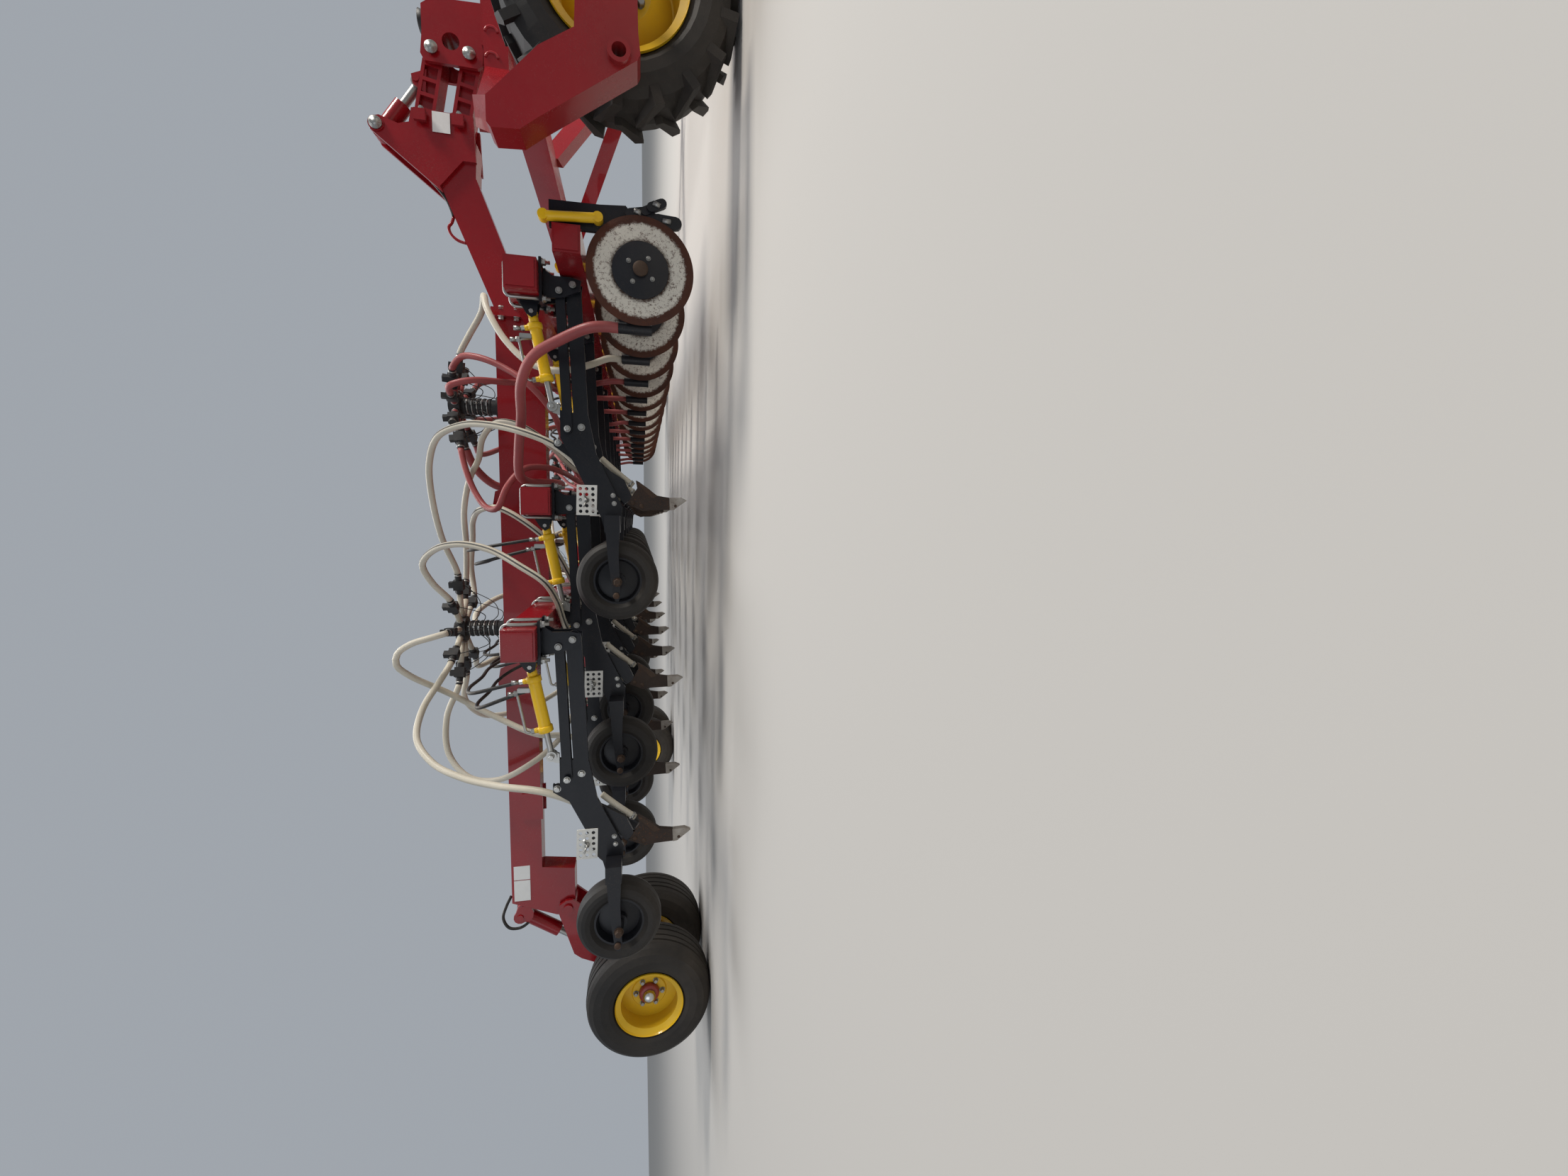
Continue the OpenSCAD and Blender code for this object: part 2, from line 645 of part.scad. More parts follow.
// Hoses from the towers to the knives and to the boots of the banding discs. Columns: side of the machine,
// tower, outlet, kind of end (0 a knife, 1 a boot), number of that opener or disc, radius, and the points
// that the hose passes, each along, out from the centre line and up.
hoses = [
  [-1, 0, 2, 0, 3, 19, [
    [-1430, 2790, 1700], [-1465, 2800, 1810], [-1520, 2805, 1880], [-1590, 2800, 1890], [-1660, 2780, 1830],
    [-1800, 2700, 1640], [-1960, 2720, 1370], [-2080, 2760, 1110], [-2123, 2690, 950]]],
  [-1, 0, 3, 0, 0, 19, [
    [-1700, 2760, 1665], [-1850, 2860, 1740], [-1990, 2980, 1740], [-2090, 3120, 1620], [-2130, 3270, 1430],
    [-2130, 3430, 1200], [-2123, 3570, 950]]],
  [-1, 0, 4, 0, 6, 19, [
    [-2000, 2540, 1700], [-2250, 2560, 1690], [-2400, 2600, 1560], [-2420, 2620, 1380], [-2330, 2600, 1180],
    [-2250, 2450, 1040], [-2190, 2100, 980], [-2150, 1850, 930], [-2165, 1778, 865]]],
  [-1, 0, 5, 0, 9, 19, [
    [-1950, 2300, 1650], [-2100, 2200, 1560], [-2140, 2000, 1350], [-2130, 1600, 1150], [-2110, 1100, 1050],
    [-2123, 890, 940]]],
  [-1, 0, 1, 0, 2, 19, [
    [-1103, 2720, 1700], [-986, 2790, 1729], [-895, 2870, 1640], [-855, 2960, 1486], [-882, 3060, 1295],
    [-974, 3160, 1110], [-1060, 3190, 985], [-1170, 3140, 930], [-1250, 3090, 915], [-1298, 3032, 910],
    [-1345, 2988, 900], [-1410, 2987, 870], [-1460, 2987, 830]]],
  [-1, 0, 0, 0, 1, 19, [
    [-841, 2560, 1680], [-581, 2680, 1695], [-378, 2800, 1665], [-244, 2900, 1587], [-185, 3010, 1421],
    [-195, 3130, 1252], [-240, 3240, 1071], [-310, 3280, 900]]],
  [-1, 0, 8, 0, 5, 19, [
    [-1050, 2060, 1640], [-850, 2120, 1610], [-720, 2300, 1560], [-650, 2480, 1470], [-640, 2600, 1330],
    [-720, 2640, 1180], [-850, 2600, 1040], [-1050, 2430, 950], [-1180, 2270, 922], [-1250, 2190, 915],
    [-1298, 2120, 910], [-1345, 2074, 900], [-1410, 2073, 870], [-1460, 2073, 830]]],
  [-1, 0, 9, 0, 4, 19, [
    [-900, 2330, 1600], [-650, 2430, 1580], [-450, 2490, 1525], [-330, 2530, 1460], [-200, 2580, 1420],
    [-110, 2640, 1320], [-130, 2660, 1180], [-240, 2600, 1010], [-320, 2470, 940], [-365, 2390, 880]]],
  [-1, 0, 7, 0, 8, 19, [
    [-1400, 1950, 1640], [-1300, 1750, 1500], [-1330, 1500, 1300], [-1405, 1300, 1150], [-1440, 1180, 1000],
    [-1470, 1161, 880]]],
  [-1, 0, 6, 0, 11, 19, [
    [-1800, 1950, 1640], [-1750, 1600, 1500], [-1600, 1100, 1350], [-1480, 600, 1230], [-1440, 330, 1120],
    [-1440, 260, 1000], [-1470, 247, 880]]],
  [-1, 1, 4, 0, 7, 19, [
    [-400, 2560, 1530], [-540, 2610, 1470], [-637, 2680, 1390], [-640, 2760, 1310], [-510, 2790, 1245],
    [-400, 2740, 1160], [-375, 2620, 1050], [-385, 2480, 980], [-400, 2000, 940], [-405, 1650, 930],
    [-408, 1530, 890], [-413, 1475, 850]]],
  [-1, 1, 1, 0, 10, 19, [
    [260, 2680, 1500], [250, 2740, 1400], [190, 2800, 1250], [80, 2860, 1090], [-50, 2800, 980],
    [-250, 2300, 950], [-330, 1524, 960], [-370, 850, 930], [-395, 640, 895], [-410, 565, 850]]],
  [-1, 1, 5, 1, 0, 27, [
    [-380, 2290, 1530], [-480, 2250, 1420], [-500, 2240, 1250], [-485, 2270, 1070], [-470, 2400, 980],
    [-470, 2560, 1020], [-478, 2760, 1125], [-440, 2930, 1150], [-300, 3040, 1130], [-150, 3150, 1095],
    [0, 3330, 1060], [110, 3450, 980], [180, 3550, 830], [225, 3610, 700]]],
  [-1, 1, 0, 1, 1, 19, [
    [430, 2500, 1500], [560, 2590, 1400], [620, 2690, 1365], [520, 2780, 1330], [330, 2860, 1220],
    [190, 2930, 1070], [150, 2990, 900], [190, 3007, 740]]],
  [-1, 1, 2, 1, 2, 19, [
    [65, 2800, 1540], [100, 2810, 1420], [115, 2740, 1230], [140, 2640, 1080], [160, 2540, 1030],
    [172, 2420, 1020], [185, 2352, 965], [200, 2345, 860], [220, 2365, 740]]],
  [-1, 1, 8, 1, 3, 19, [
    [230, 2060, 1540], [280, 1950, 1400], [290, 1850, 1200], [250, 1800, 1000], [230, 1788, 800]]],
  [-1, 1, 7, 1, 4, 19, [
    [-10, 2000, 1580], [40, 1750, 1480], [130, 1450, 1350], [200, 1250, 1200], [230, 1185, 1000],
    [232, 1178, 800]]],
  [-1, 1, 6, 1, 5, 19, [
    [-250, 2000, 1570], [-150, 1600, 1480], [20, 1100, 1350], [150, 700, 1200], [200, 530, 1050],
    [210, 525, 860], [220, 525, 720]]],
  [1, 0, 3, 0, 24, 19, [
    [-1700, 2760, 1665], [-1850, 2860, 1740], [-1990, 2980, 1740], [-2090, 3120, 1620], [-2130, 3270, 1430],
    [-2130, 3450, 1200], [-2123, 3700, 950]]],
  [1, 0, 2, 0, 21, 19, [
    [-1430, 2790, 1700], [-1465, 2800, 1810], [-1520, 2805, 1880], [-1590, 2800, 1890], [-1660, 2780, 1830],
    [-1800, 2700, 1640], [-1960, 2720, 1370], [-2080, 2790, 1110], [-2123, 2801, 950]]],
  [1, 0, 1, 0, 23, 19, [
    [-1103, 2720, 1700], [-986, 2790, 1729], [-895, 2900, 1640], [-870, 3030, 1486], [-930, 3180, 1330],
    [-1100, 3330, 1220], [-1340, 3400, 1170], [-1440, 3411, 1060], [-1470, 3411, 920]]],
  [1, 0, 0, 0, 22, 19, [
    [-841, 2560, 1680], [-581, 2650, 1695], [-378, 2740, 1665], [-244, 2830, 1587], [-165, 2910, 1421],
    [-150, 2990, 1252], [-190, 3080, 1071], [-300, 3114, 910]]],
  [1, 0, 9, 0, 20, 19, [
    [-1000, 2290, 1650], [-950, 2450, 1600], [-980, 2580, 1450], [-1100, 2620, 1300], [-1300, 2600, 1200],
    [-1420, 2570, 1100], [-1465, 2510, 930]]],
  [1, 0, 4, 0, 18, 19, [
    [-2000, 2540, 1700], [-2250, 2560, 1690], [-2400, 2600, 1560], [-2420, 2620, 1380], [-2330, 2600, 1180],
    [-2250, 2450, 1040], [-2190, 2150, 960], [-2150, 1930, 890]]],
  [1, 0, 5, 0, 15, 19, [
    [-1950, 2300, 1650], [-2100, 2200, 1560], [-2140, 2000, 1350], [-2130, 1600, 1150], [-2110, 1150, 1050],
    [-2123, 1000, 940]]],
  [1, 0, 6, 0, 12, 19, [
    [-1830, 1970, 1640], [-1950, 1600, 1500], [-2050, 1000, 1300], [-2100, 400, 1150], [-2115, 110, 1020],
    [-2135, 58, 900]]],
  [1, 0, 7, 0, 17, 19, [
    [-1450, 1950, 1640], [-1420, 1780, 1500], [-1440, 1640, 1300], [-1450, 1590, 1100], [-1470, 1582, 920]]],
  [1, 0, 8, 0, 14, 19, [
    [-1150, 1950, 1630], [-1180, 1600, 1500], [-1300, 1100, 1350], [-1400, 760, 1200], [-1450, 680, 1050],
    [-1470, 668, 920]]],
  [1, 1, 6, 0, 19, 19, [
    [-280, 2080, 1520], [-300, 2050, 1400], [-320, 2080, 1200], [-350, 2160, 1000], [-380, 2192, 880]]],
  [1, 1, 7, 0, 16, 19, [
    [-40, 2000, 1560], [-150, 1750, 1450], [-270, 1450, 1300], [-340, 1300, 1120], [-370, 1277, 950]]],
  [1, 1, 8, 0, 13, 19, [
    [170, 2000, 1570], [50, 1500, 1450], [-150, 900, 1300], [-300, 480, 1130], [-365, 370, 960]]],
  [1, 1, 1, 1, 12, 19, [
    [260, 2700, 1560], [280, 2900, 1450], [240, 3200, 1250], [200, 3480, 1000], [200, 3650, 800]]],
  [1, 1, 2, 1, 11, 19, [
    [60, 2800, 1560], [110, 2950, 1420], [160, 3080, 1200], [190, 3130, 1000], [205, 3133, 820]]],
  [1, 1, 0, 1, 10, 19, [
    [420, 2520, 1500], [440, 2600, 1380], [380, 2640, 1200], [290, 2600, 1040], [250, 2520, 900],
    [235, 2479, 720]]],
  [1, 1, 9, 1, 9, 19, [
    [350, 2210, 1540], [370, 2100, 1400], [340, 1980, 1200], [280, 1890, 1000], [240, 1870, 800]]],
  [1, 1, 5, 1, 8, 19, [
    [-380, 2330, 1560], [-430, 2200, 1480], [-350, 1900, 1330], [-100, 1550, 1220], [120, 1350, 1120],
    [190, 1304, 980], [205, 1304, 820]]],
  [1, 1, 4, 1, 7, 19, [
    [-400, 2560, 1600], [-420, 2500, 1720], [-330, 2250, 1760], [-150, 1800, 1700], [80, 1250, 1500],
    [190, 850, 1250], [215, 680, 1000], [232, 651, 800]]],
  [1, 1, 3, 1, 6, 19, [
    [-220, 2740, 1650], [-300, 2640, 1745], [-240, 2420, 1800], [-80, 2000, 1730], [90, 1500, 1620],
    [170, 900, 1400], [205, 350, 1150], [228, 80, 980], [235, 41, 800]]]
];
SIDE = 0;
TOWER = 1;
OUTLET = 2;
TO_BOOT = 3;
NUMBER = 4;
HOSE_R = 5;
ROUTE = 6;
boot_at = [235, 41];
boot_top = 560;
hose_out = 60;

function unit(v) = v / norm(v);
function bar_of(k) = [for (r = [0 : 2]) if (k % 3 == rows[r][FIRST]) rows[r][BAR_X]][0];

// Where an outlet's valve ends, and the way that it points
function outlet_dir(h) =
  let (a = outlets[h[OUTLET]][TURN], d = towers[h[TOWER]][DROOP])
  [cos(a) * cos(d), h[SIDE] * sin(a) * cos(d), -sin(d)];
function outlet_end(h) =
  let (t = towers[h[TOWER]], o = outlets[h[OUTLET]], a = o[TURN], d = t[DROOP])
  let (reach = t[SHARE] * o[REACH] - 7.5)
  [
    t[PLACE] + (60 + reach * cos(d) + o[LIFT] * sin(d)) * cos(a),
    h[SIDE] * (beam_y + (60 + reach * cos(d) + o[LIFT] * sin(d)) * sin(a)),
    t[HEAD] + 29 - reach * sin(d) + o[LIFT] * cos(d)
  ];

// The last two points of a hose: along a knife's shank, or down into a boot
function hose_end(h) = h[TO_BOOT] == 1
  ? [for (z = [70, 0.5]) [boot_at[0], bander_y(h[NUMBER]) + boot_at[1], boot_top + z]]
  : let (x = bar_of(h[NUMBER]), y = opener_y(h[NUMBER]) + hose_out) [[x - 900, y, 775], [x - 1070, y, 560]];
function hose_points(h) = concat(
  [outlet_end(h)], [for (p = h[ROUTE]) [p[0], h[SIDE] * p[1], p[2]]], hose_end(h)
);

// Each ring's sideways direction, carried along the tube so that it doesn't twist
function across(t, u) = unit(u - (u * t) * t);
function carried(ts, us) = len(us) == len(ts)
  ? us : carried(ts, concat(us, [across(ts[len(us)], us[len(us) - 1])]));

module tube(points, r, first) {
  n = len(points);
  m = 8;
  legs = [for (i = [0 : n - 2]) unit(points[i + 1] - points[i])];
  ts = [for (i = [0 : n - 1]) i == 0 ? first : i == n - 1 ? legs[n - 2] : unit(legs[i] + legs[i - 1])];
  us = carried(ts, [across(ts[0], [0, 0, 1])]);
  polyhedron(
    [for (i = [0 : n - 1]) for (j = [0 : m - 1])
      points[i] + r * (cos(360 * j / m) * us[i] + sin(360 * j / m) * cross(ts[i], us[i]))],
    concat(
      [for (i = [0 : n - 2]) for (j = [0 : m - 1]) [i * m + j, (i + 1) * m + j, (i + 1) * m + (j + 1) % m]],
      [for (i = [0 : n - 2]) for (j = [0 : m - 1])
        [i * m + j, (i + 1) * m + (j + 1) % m, i * m + (j + 1) % m]],
      [[for (j = [0 : m - 1]) j]],
      [[for (j = [m - 1 : -1 : 0]) (n - 1) * m + j]]
    )
  );
}

module seed_hoses() {
  color("#d8d0b8") for (h = hoses) tube(hose_points(h), h[HOSE_R], outlet_dir(h));
}

// Lift links of the hitch
link_vec = link_l * [cos(link_slope), -sin(link_slope)];
upper_rear = [link_rear_x, upper_pin_z];
lower_rear = [link_rear_x, lower_pin_z];
upper_front = upper_rear + link_vec;
lower_front = lower_rear + link_vec;
hitch_link_w = 128;
hitch_lug = upper_rear + [240, 33];

module hitch_link(p, q) {
  difference() {
    plate(strap(p, q, 112), -hitch_link_w / 2, hitch_link_w);
    for (s = [-1, 1]) for (i = [0 : 2]) {
      c = p + (q - p) * (0.28 + 0.22 * i);
      translate([c[0], s * (hitch_link_w / 2 - 9), c[1]]) rotate([0, link_slope, 0])
        cube([66, 40, 74], center = true);
    }
    pin(p, hitch_pin_r + pin_gap, 0, 300);
    pin(q, hitch_pin_r + pin_gap, 0, 300);
  }
}

module lower_hitch_links() {
  color(red) both_sides() translate([0, beam_y, 0]) hitch_link(lower_rear, lower_front);
  color(silver) both_sides() translate([0, beam_y, 0])
    for (p = [lower_rear, lower_front]) pin(p, hitch_pin_r, 0, 2 * (ear_in + ear_t) + 30);
}

module upper_hitch_links() {
  color(red) both_sides() translate([0, beam_y, 0]) {
    difference() {
      hitch_link(upper_rear, upper_front);
      pin(hitch_lug, 42, 0, 72);
    }
    for (s = [0, 1])
      plate([
        hitch_lug + [-75, -50], hitch_lug + [-28, 20], hitch_lug + [22, 26], hitch_lug + [60, -60]
      ], s == 0 ? -56 : 36, 20);
  }
  color(silver) both_sides() translate([0, beam_y, 0]) {
    for (p = [upper_rear, upper_front]) pin(p, hitch_pin_r, 0, 2 * (ear_in + ear_t) + 30);
    pin(hitch_lug, 20, 0, 130);
  }
}

hitch_dir = (hitch_lug - tower_pin) / norm(hitch_lug - tower_pin);
hitch_len = norm(hitch_lug - tower_pin);
hitch_barrel_l = 212;

module hitch_cylinders() {
  color(maroon) both_sides() translate([0, beam_y, 0])
    cylinder_barrel(tower_pin, hitch_dir, hitch_barrel_l, 50, 26, 44, hitch_pin_r, 70);
  color(silver) both_sides() translate([0, beam_y, 0])
    pin(tower_pin, hitch_pin_r, 0, 2 * (ear_in + ear_t) + 10);
}

module hitch_rods() {
  color(silver) both_sides() translate([0, beam_y, 0])
    cylinder_rod(hitch_lug, hitch_dir, hitch_len - 175, 26, 36, 26, 64);
}

// Castings between the links and the carriage, with the upright pin
cast_top = 1700;
base_z = 1335;
base_t = 25;
upright_x = 2235;

module hitch_castings() {
  color(red) both_sides() translate([0, beam_y, 0]) difference() {
    union() {
      for (s = [-1, 1])
        plate([
          [1992, 1400], [2010, 1372], [2150, base_z + base_t], [2150, cast_top], [2030, 1712], [1992, 1690]
        ], s > 0 ? ear_in : -ear_in - ear_t, ear_t);
      plate([[2132, base_z + base_t], [2360, base_z + base_t], [2345, 1640], [2300, cast_top],
        [2132, cast_top]],
        -ear_in - ear_t, 2 * (ear_in + ear_t));
      translate([2085, -170, base_z]) cube([355, 340, base_t]);
    }
    pin(upper_front, hitch_pin_r + pin_gap, 0, 300);
    pin(lower_front, hitch_pin_r + pin_gap, 0, 300);
    pin([2120, (upper_front[1] + lower_front[1]) / 2], 48, 0, 300);
  }
  color(black) both_sides() translate([upright_x, beam_y, cast_top]) {
    cylinder(r = 40, h = 14);
    translate([30, 0, 0]) cylinder(r1 = 52, r2 = 62, h = 34);
  }
}

// Cross beam of the carriage, with the boxes that carry the side frames
side_in = 4003;
side_t = 140;
module carriage_beam() {
  color(maroon) {
    translate([cross_x - cross_s / 2, -beam_y - 237, base_z - cross_s])
      cube([cross_s, 2 * beam_y + 474, cross_s]);
    both_sides() {
      translate([1880, beam_y + 72, base_z - 135]) cube([cross_x - cross_s / 2 - 1880, 165, 135]);
      translate([cross_x + cross_s / 2, beam_y - 90, base_z - 165]) cube([110, 180, 165]);
    }
  }
}

// Outboard side frames: swept member, slanted leg, foot and the arm to the hub
boss_at = [1123, 532];
module side_frames() {
  color("#c4141f") both_sides() {
    difference() {
      union() {
        plate([
          [790, 905], [782, 1010], [800, 1025], [895, 1025], [920, 1000], [1102, 833], [1190, 700],
          [front_x + 40, lug_r + 130], [front_x + 85, lug_r + 90], [front_x + 95, lug_r],
          [front_x + 85, lug_r - 80], [1214, 458],
          [1135, 450], [1110, 462], [842, 838]
        ], side_in, side_t);
        strut([865, side_in + 70, 955], [1179, 3523, 1130], 120, 140);
        strut([1169, 3505, 1126], [1890, beam_y + 190, base_z - 72], 120, 130);
      }
      pin(boss_at, 28, side_in + 160, 320);
      translate([1880, beam_y + 72, base_z - 135]) cube([cross_x - 1880, 165, 135]);
    }
    difference() {
      pin(boss_at, 45, side_in + side_t + 12, 24);
      pin(boss_at, 28, side_in + side_t + 12, 60);
    }
    pin([front_x, lug_r], 40, side_in - 215, 430);
  }
}

// Lugged front wheel
front_bead_r = front_rim_r - 23;
front_tyre_fn = 36;
module front_rim(side) {
  w = lug_w / 2;
  color(yellow) translate([front_x, side * front_y, lug_r])
    rotate([0, 0, side < 0 ? 0 : 180]) rotate([90, 0, 0])
    rotate_extrude($fn = 96) polygon([
      [40 + pin_gap, -90], [80, -90], [80, 10], [140, 30], [front_rim_r - 80, -70],
      [front_rim_r - 43, -w + 50], [front_rim_r - 8, -w + 30],
      [front_rim_r, -w + 16], [front_rim_r, -w + 32], [front_bead_r, -w + 52], [front_bead_r, w - 52],
      [front_rim_r, w - 32], [front_rim_r, w - 16], [front_rim_r - 8, w - 30], [front_rim_r - 43, w - 50],
      [front_rim_r - 65, -52], [front_rim_r - 73, -56], [150, 46], [80, 26], [80, 100], [40 + pin_gap, 100]
    ]);
}

module front_tyre(side) {
  w = lug_w / 2;
  base = lug_r - lug_h;
  b = front_bead_r / cos(180 / front_tyre_fn) + 0.3;
  color("#26272a") translate([front_x, side * front_y, lug_r]) rotate([90, 0, 0]) union() {
    rotate_extrude($fn = front_tyre_fn) polygon([
      [b, -w + 60], [front_rim_r + 9, -w + 28], [365, -w + 4], [415, -w], [465, -w + 14],
      [base - 10, -w + 34],
      [base + 3, -45], [base + 3, 45], [base - 10, w - 34], [465, w - 14], [415, w],
      [365, w - 4], [front_rim_r + 9, w - 28], [b, w - 60]
    ]);
    for (i = [0 : lug_n - 1]) for (s = [-1, 1])
      rotate([0, 0, 360 / lug_n * (i + (s > 0 ? 0.5 : 0))]) scale([1, 1, s]) lug(w, base);
  }
}

// One bar lug, from the middle of the tread out over the shoulder
module lug(w, base) {
  hull() {
    translate([base - 14, -17, -6]) cube([lug_h + 12, 34, 8]);
    rotate([0, 0, 10]) translate([base - 50, -21, w - 36]) cube([lug_h + 42, 42, 26]);
  }
}

module front_rim_right() { front_rim(-1); }
module front_tyre_right() { front_tyre(-1); }
module front_rim_left() { front_rim(1); }
module front_tyre_left() { front_tyre(1); }

// Drawbar tongue from the cross beam to the pin
hitch_tip_r = 50;
tip_x = -(rear_x - rear_r);
module tongue() {
  color(red) {
    difference() {
      both_sides() strut([cross_x + 60, 900, base_z - 130], [3760, 95, hitch_z + 30], 120, 140);
      translate([cross_x - 200, -1500, base_z - 500]) cube([200 + cross_s / 2, 3000, 700]);
    }
    translate([3660, -150, hitch_z - 40]) cube([240, 300, 140]);
    translate([jack_at[0] - 50, jack_at[1] + 40, hitch_z + 60]) cube([100, 130, 110]);
    translate([3880, -60, hitch_z - 60]) cube([300, 120, 120]);
    difference() {
      translate([0, 0, hitch_z - 25]) linear_extrude(50) polygon(concat(
          [[4160, -60], [4160, 60]],
          [for (i = [0 : 8])
            [tip_x - hitch_tip_r, 0] + hitch_tip_r * [cos(90 - 22.5 * i), sin(90 - 22.5 * i)]]
        ));
      translate([tip_x - hitch_tip_r, 0, hitch_z - 200]) cylinder(r = hitch_bore_r, h = 400);
    }
  }
}

// Parking jack on the tongue
jack_at = [3580, -345];
module jack_post() {
  color(black) translate([jack_at[0], jack_at[1], 0]) {
    difference() {
      union() {
        translate([-40, -40, 300]) cube([80, 80, 560]);
      }
      translate([0, 0, 290]) cylinder(r = 30 + pin_gap, h = 540);
    }
    translate([0, 0, 860]) cylinder(r = 30, h = 40);
    translate([-12, -150, 885]) cube([24, 170, 14]);
  }
}
module jack_leg() {
  color(silver) translate([jack_at[0], jack_at[1], 0]) {
    cylinder(r = 90, h = 14);
    translate([0, 0, 14]) cylinder(r = 30, h = 540);
  }
}

main_beams();
goosenecks();
toolbars();
bander_bar();
opener_brackets();
opener_links();
opener_arms();
opener_shanks();
opener_knives();
opener_cylinders();
opener_rods();
depth_plates();
bander_hangers();
bander_arms();
bander_cylinders();
bander_discs();
packer_wheels_front();
packer_wheels_middle();
packer_wheels_rear();
packer_tyres_front();
packer_tyres_middle();
packer_tyres_rear();
lift_arms();
lift_cylinders();
lift_rods();
rear_rims_right();
rear_tyres_right();
rear_rims_left();
rear_tyres_left();
air_towers();
tower_heads();
seed_hoses();
lower_hitch_links();
upper_hitch_links();
hitch_cylinders();
hitch_rods();
hitch_castings();
carriage_beam();
side_frames();
tongue();
front_rim_right();
front_tyre_right();
front_rim_left();
front_tyre_left();
jack_post();
jack_leg();
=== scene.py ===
import json
import math

import bmesh
import bpy
from mathutils import Matrix, Vector


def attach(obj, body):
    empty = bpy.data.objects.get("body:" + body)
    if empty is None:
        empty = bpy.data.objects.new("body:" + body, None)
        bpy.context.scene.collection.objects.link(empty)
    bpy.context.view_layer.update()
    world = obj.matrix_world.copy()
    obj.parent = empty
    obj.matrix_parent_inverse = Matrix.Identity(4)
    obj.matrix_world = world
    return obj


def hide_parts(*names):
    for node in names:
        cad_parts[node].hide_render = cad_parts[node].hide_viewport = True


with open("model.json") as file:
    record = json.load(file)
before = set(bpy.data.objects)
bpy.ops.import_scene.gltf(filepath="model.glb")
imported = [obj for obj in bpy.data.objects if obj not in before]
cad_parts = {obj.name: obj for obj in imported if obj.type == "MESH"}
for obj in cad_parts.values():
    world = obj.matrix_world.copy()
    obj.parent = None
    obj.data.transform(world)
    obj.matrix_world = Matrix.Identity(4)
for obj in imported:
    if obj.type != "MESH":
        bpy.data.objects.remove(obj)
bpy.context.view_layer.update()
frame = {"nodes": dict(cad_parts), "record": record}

# %% [markdown]
# # A seed drill for Blender
# The drill comes in as finished solids. This lesson gives them paint, rubber and dust, adds the small
# things that a maker bolts on last, and looks at them as the photographer did.
# The phone was held upright while the picture was stored lying down, so the camera is rolled a quarter turn.
# Its place was worked out from the spacing of the openers and the size of the wheels.

# %% The camera
PITCH, YAW, ROLL = 0.2292, 0.1077, -0.0065
CAMERA_AT = (-0.7, -6.863, 0.4655)
FOCAL_PIXELS, PHOTO_WIDTH = 871.3, 2212.0
SENSOR_MM = 36.0
view_dir = Vector((-math.sin(YAW) * math.cos(PITCH), math.cos(YAW) * math.cos(PITCH), -math.sin(PITCH)))
level = Vector((math.cos(YAW), math.sin(YAW), 0.0))
upward = level.cross(view_dir)
top = -math.sin(ROLL) * level + math.cos(ROLL) * upward
right = math.cos(ROLL) * level + math.sin(ROLL) * upward
camera_data = bpy.data.cameras.new("photo_view")
camera_data.sensor_width = SENSOR_MM
camera_data.lens = SENSOR_MM * FOCAL_PIXELS / PHOTO_WIDTH
camera_data.clip_end = 200.0
camera = bpy.data.objects.new("photo_view", camera_data)
bpy.context.scene.collection.objects.link(camera)
turn = Matrix((-top, right, -view_dir)).transposed().to_4x4()
camera.matrix_world = Matrix.Translation(CAMERA_AT) @ turn
bpy.context.scene.camera = camera
print("lens", round(camera_data.lens, 2), "mm")

# %% [markdown]
# ## Hoses first
# Each hose leaves an outlet of a distribution tower, bends over in the curve that its stiffness gives it and
# ends on a stub behind an opener's shank or in a boot behind a banding disc. The route's points are the ones
# of the solid model, in metres. A centripetal spline rounds them, because it doesn't overshoot between points
# that lie close, and a ring of points is carried along it without twisting.

# %% Where the hoses start and end
SIDES = (-1, 1)
BEAM_Y = 2.403
OPENER_PITCH = 0.3048
OPENERS = 25
DISCS = 13
BAR_X = (-1.293, 0.483, -0.605)
# Towers: place along the drill, height of the head, share of the outlets' reach, droop in degrees.
TOWERS = ((-1.44, 1.59, 1.0, 0.0), (0.015, 1.575, 0.8, 9.0))
HEAD_RADIUS, OUTLET_RISE, HOSE_LAP = 0.06, 0.029, 0.0075
# Outlets: turn in degrees, reach from the head, lift.
OUTLETS = ((12, 0.33, 0.0), (48, 0.28, 0.006), (85, 0.3, 0.0), (122, 0.27, 0.006),
           (158, 0.32, 0.0), (192, 0.285, 0.006), (228, 0.345, 0.0), (264, 0.275, 0.006),
           (300, 0.31, 0.0), (336, 0.29, 0.006))
BOOT_X, BOOT_OFF, BOOT_TOP = 0.235, 0.041, 0.56
TUBE_OFF = 0.06
STUB = ((-0.9, 0.775), (-1.07, 0.56))


def opener_y(k):
    return (k - (OPENERS - 1) / 2) * OPENER_PITCH


def disc_y(j):
    return (j - (DISCS - 1) / 2) * 2 * OPENER_PITCH


def outlet_pose(side, tower, outlet, along=None):
    """Where an outlet's valve ends and the way it points; along gives another distance from its root."""
    place, head, share, droop = TOWERS[tower]
    angle, reach, lift = OUTLETS[outlet]
    a, d = math.radians(angle), math.radians(droop)
    reach = share * reach - HOSE_LAP if along is None else along
    out = HEAD_RADIUS + reach * math.cos(d) + lift * math.sin(d)
    spot = Vector((place + out * math.cos(a), side * (BEAM_Y + out * math.sin(a)),
                   head + OUTLET_RISE - reach * math.sin(d) + lift * math.cos(d)))
    return spot, Vector((math.cos(a) * math.cos(d), side * math.sin(a) * math.cos(d), -math.sin(d)))


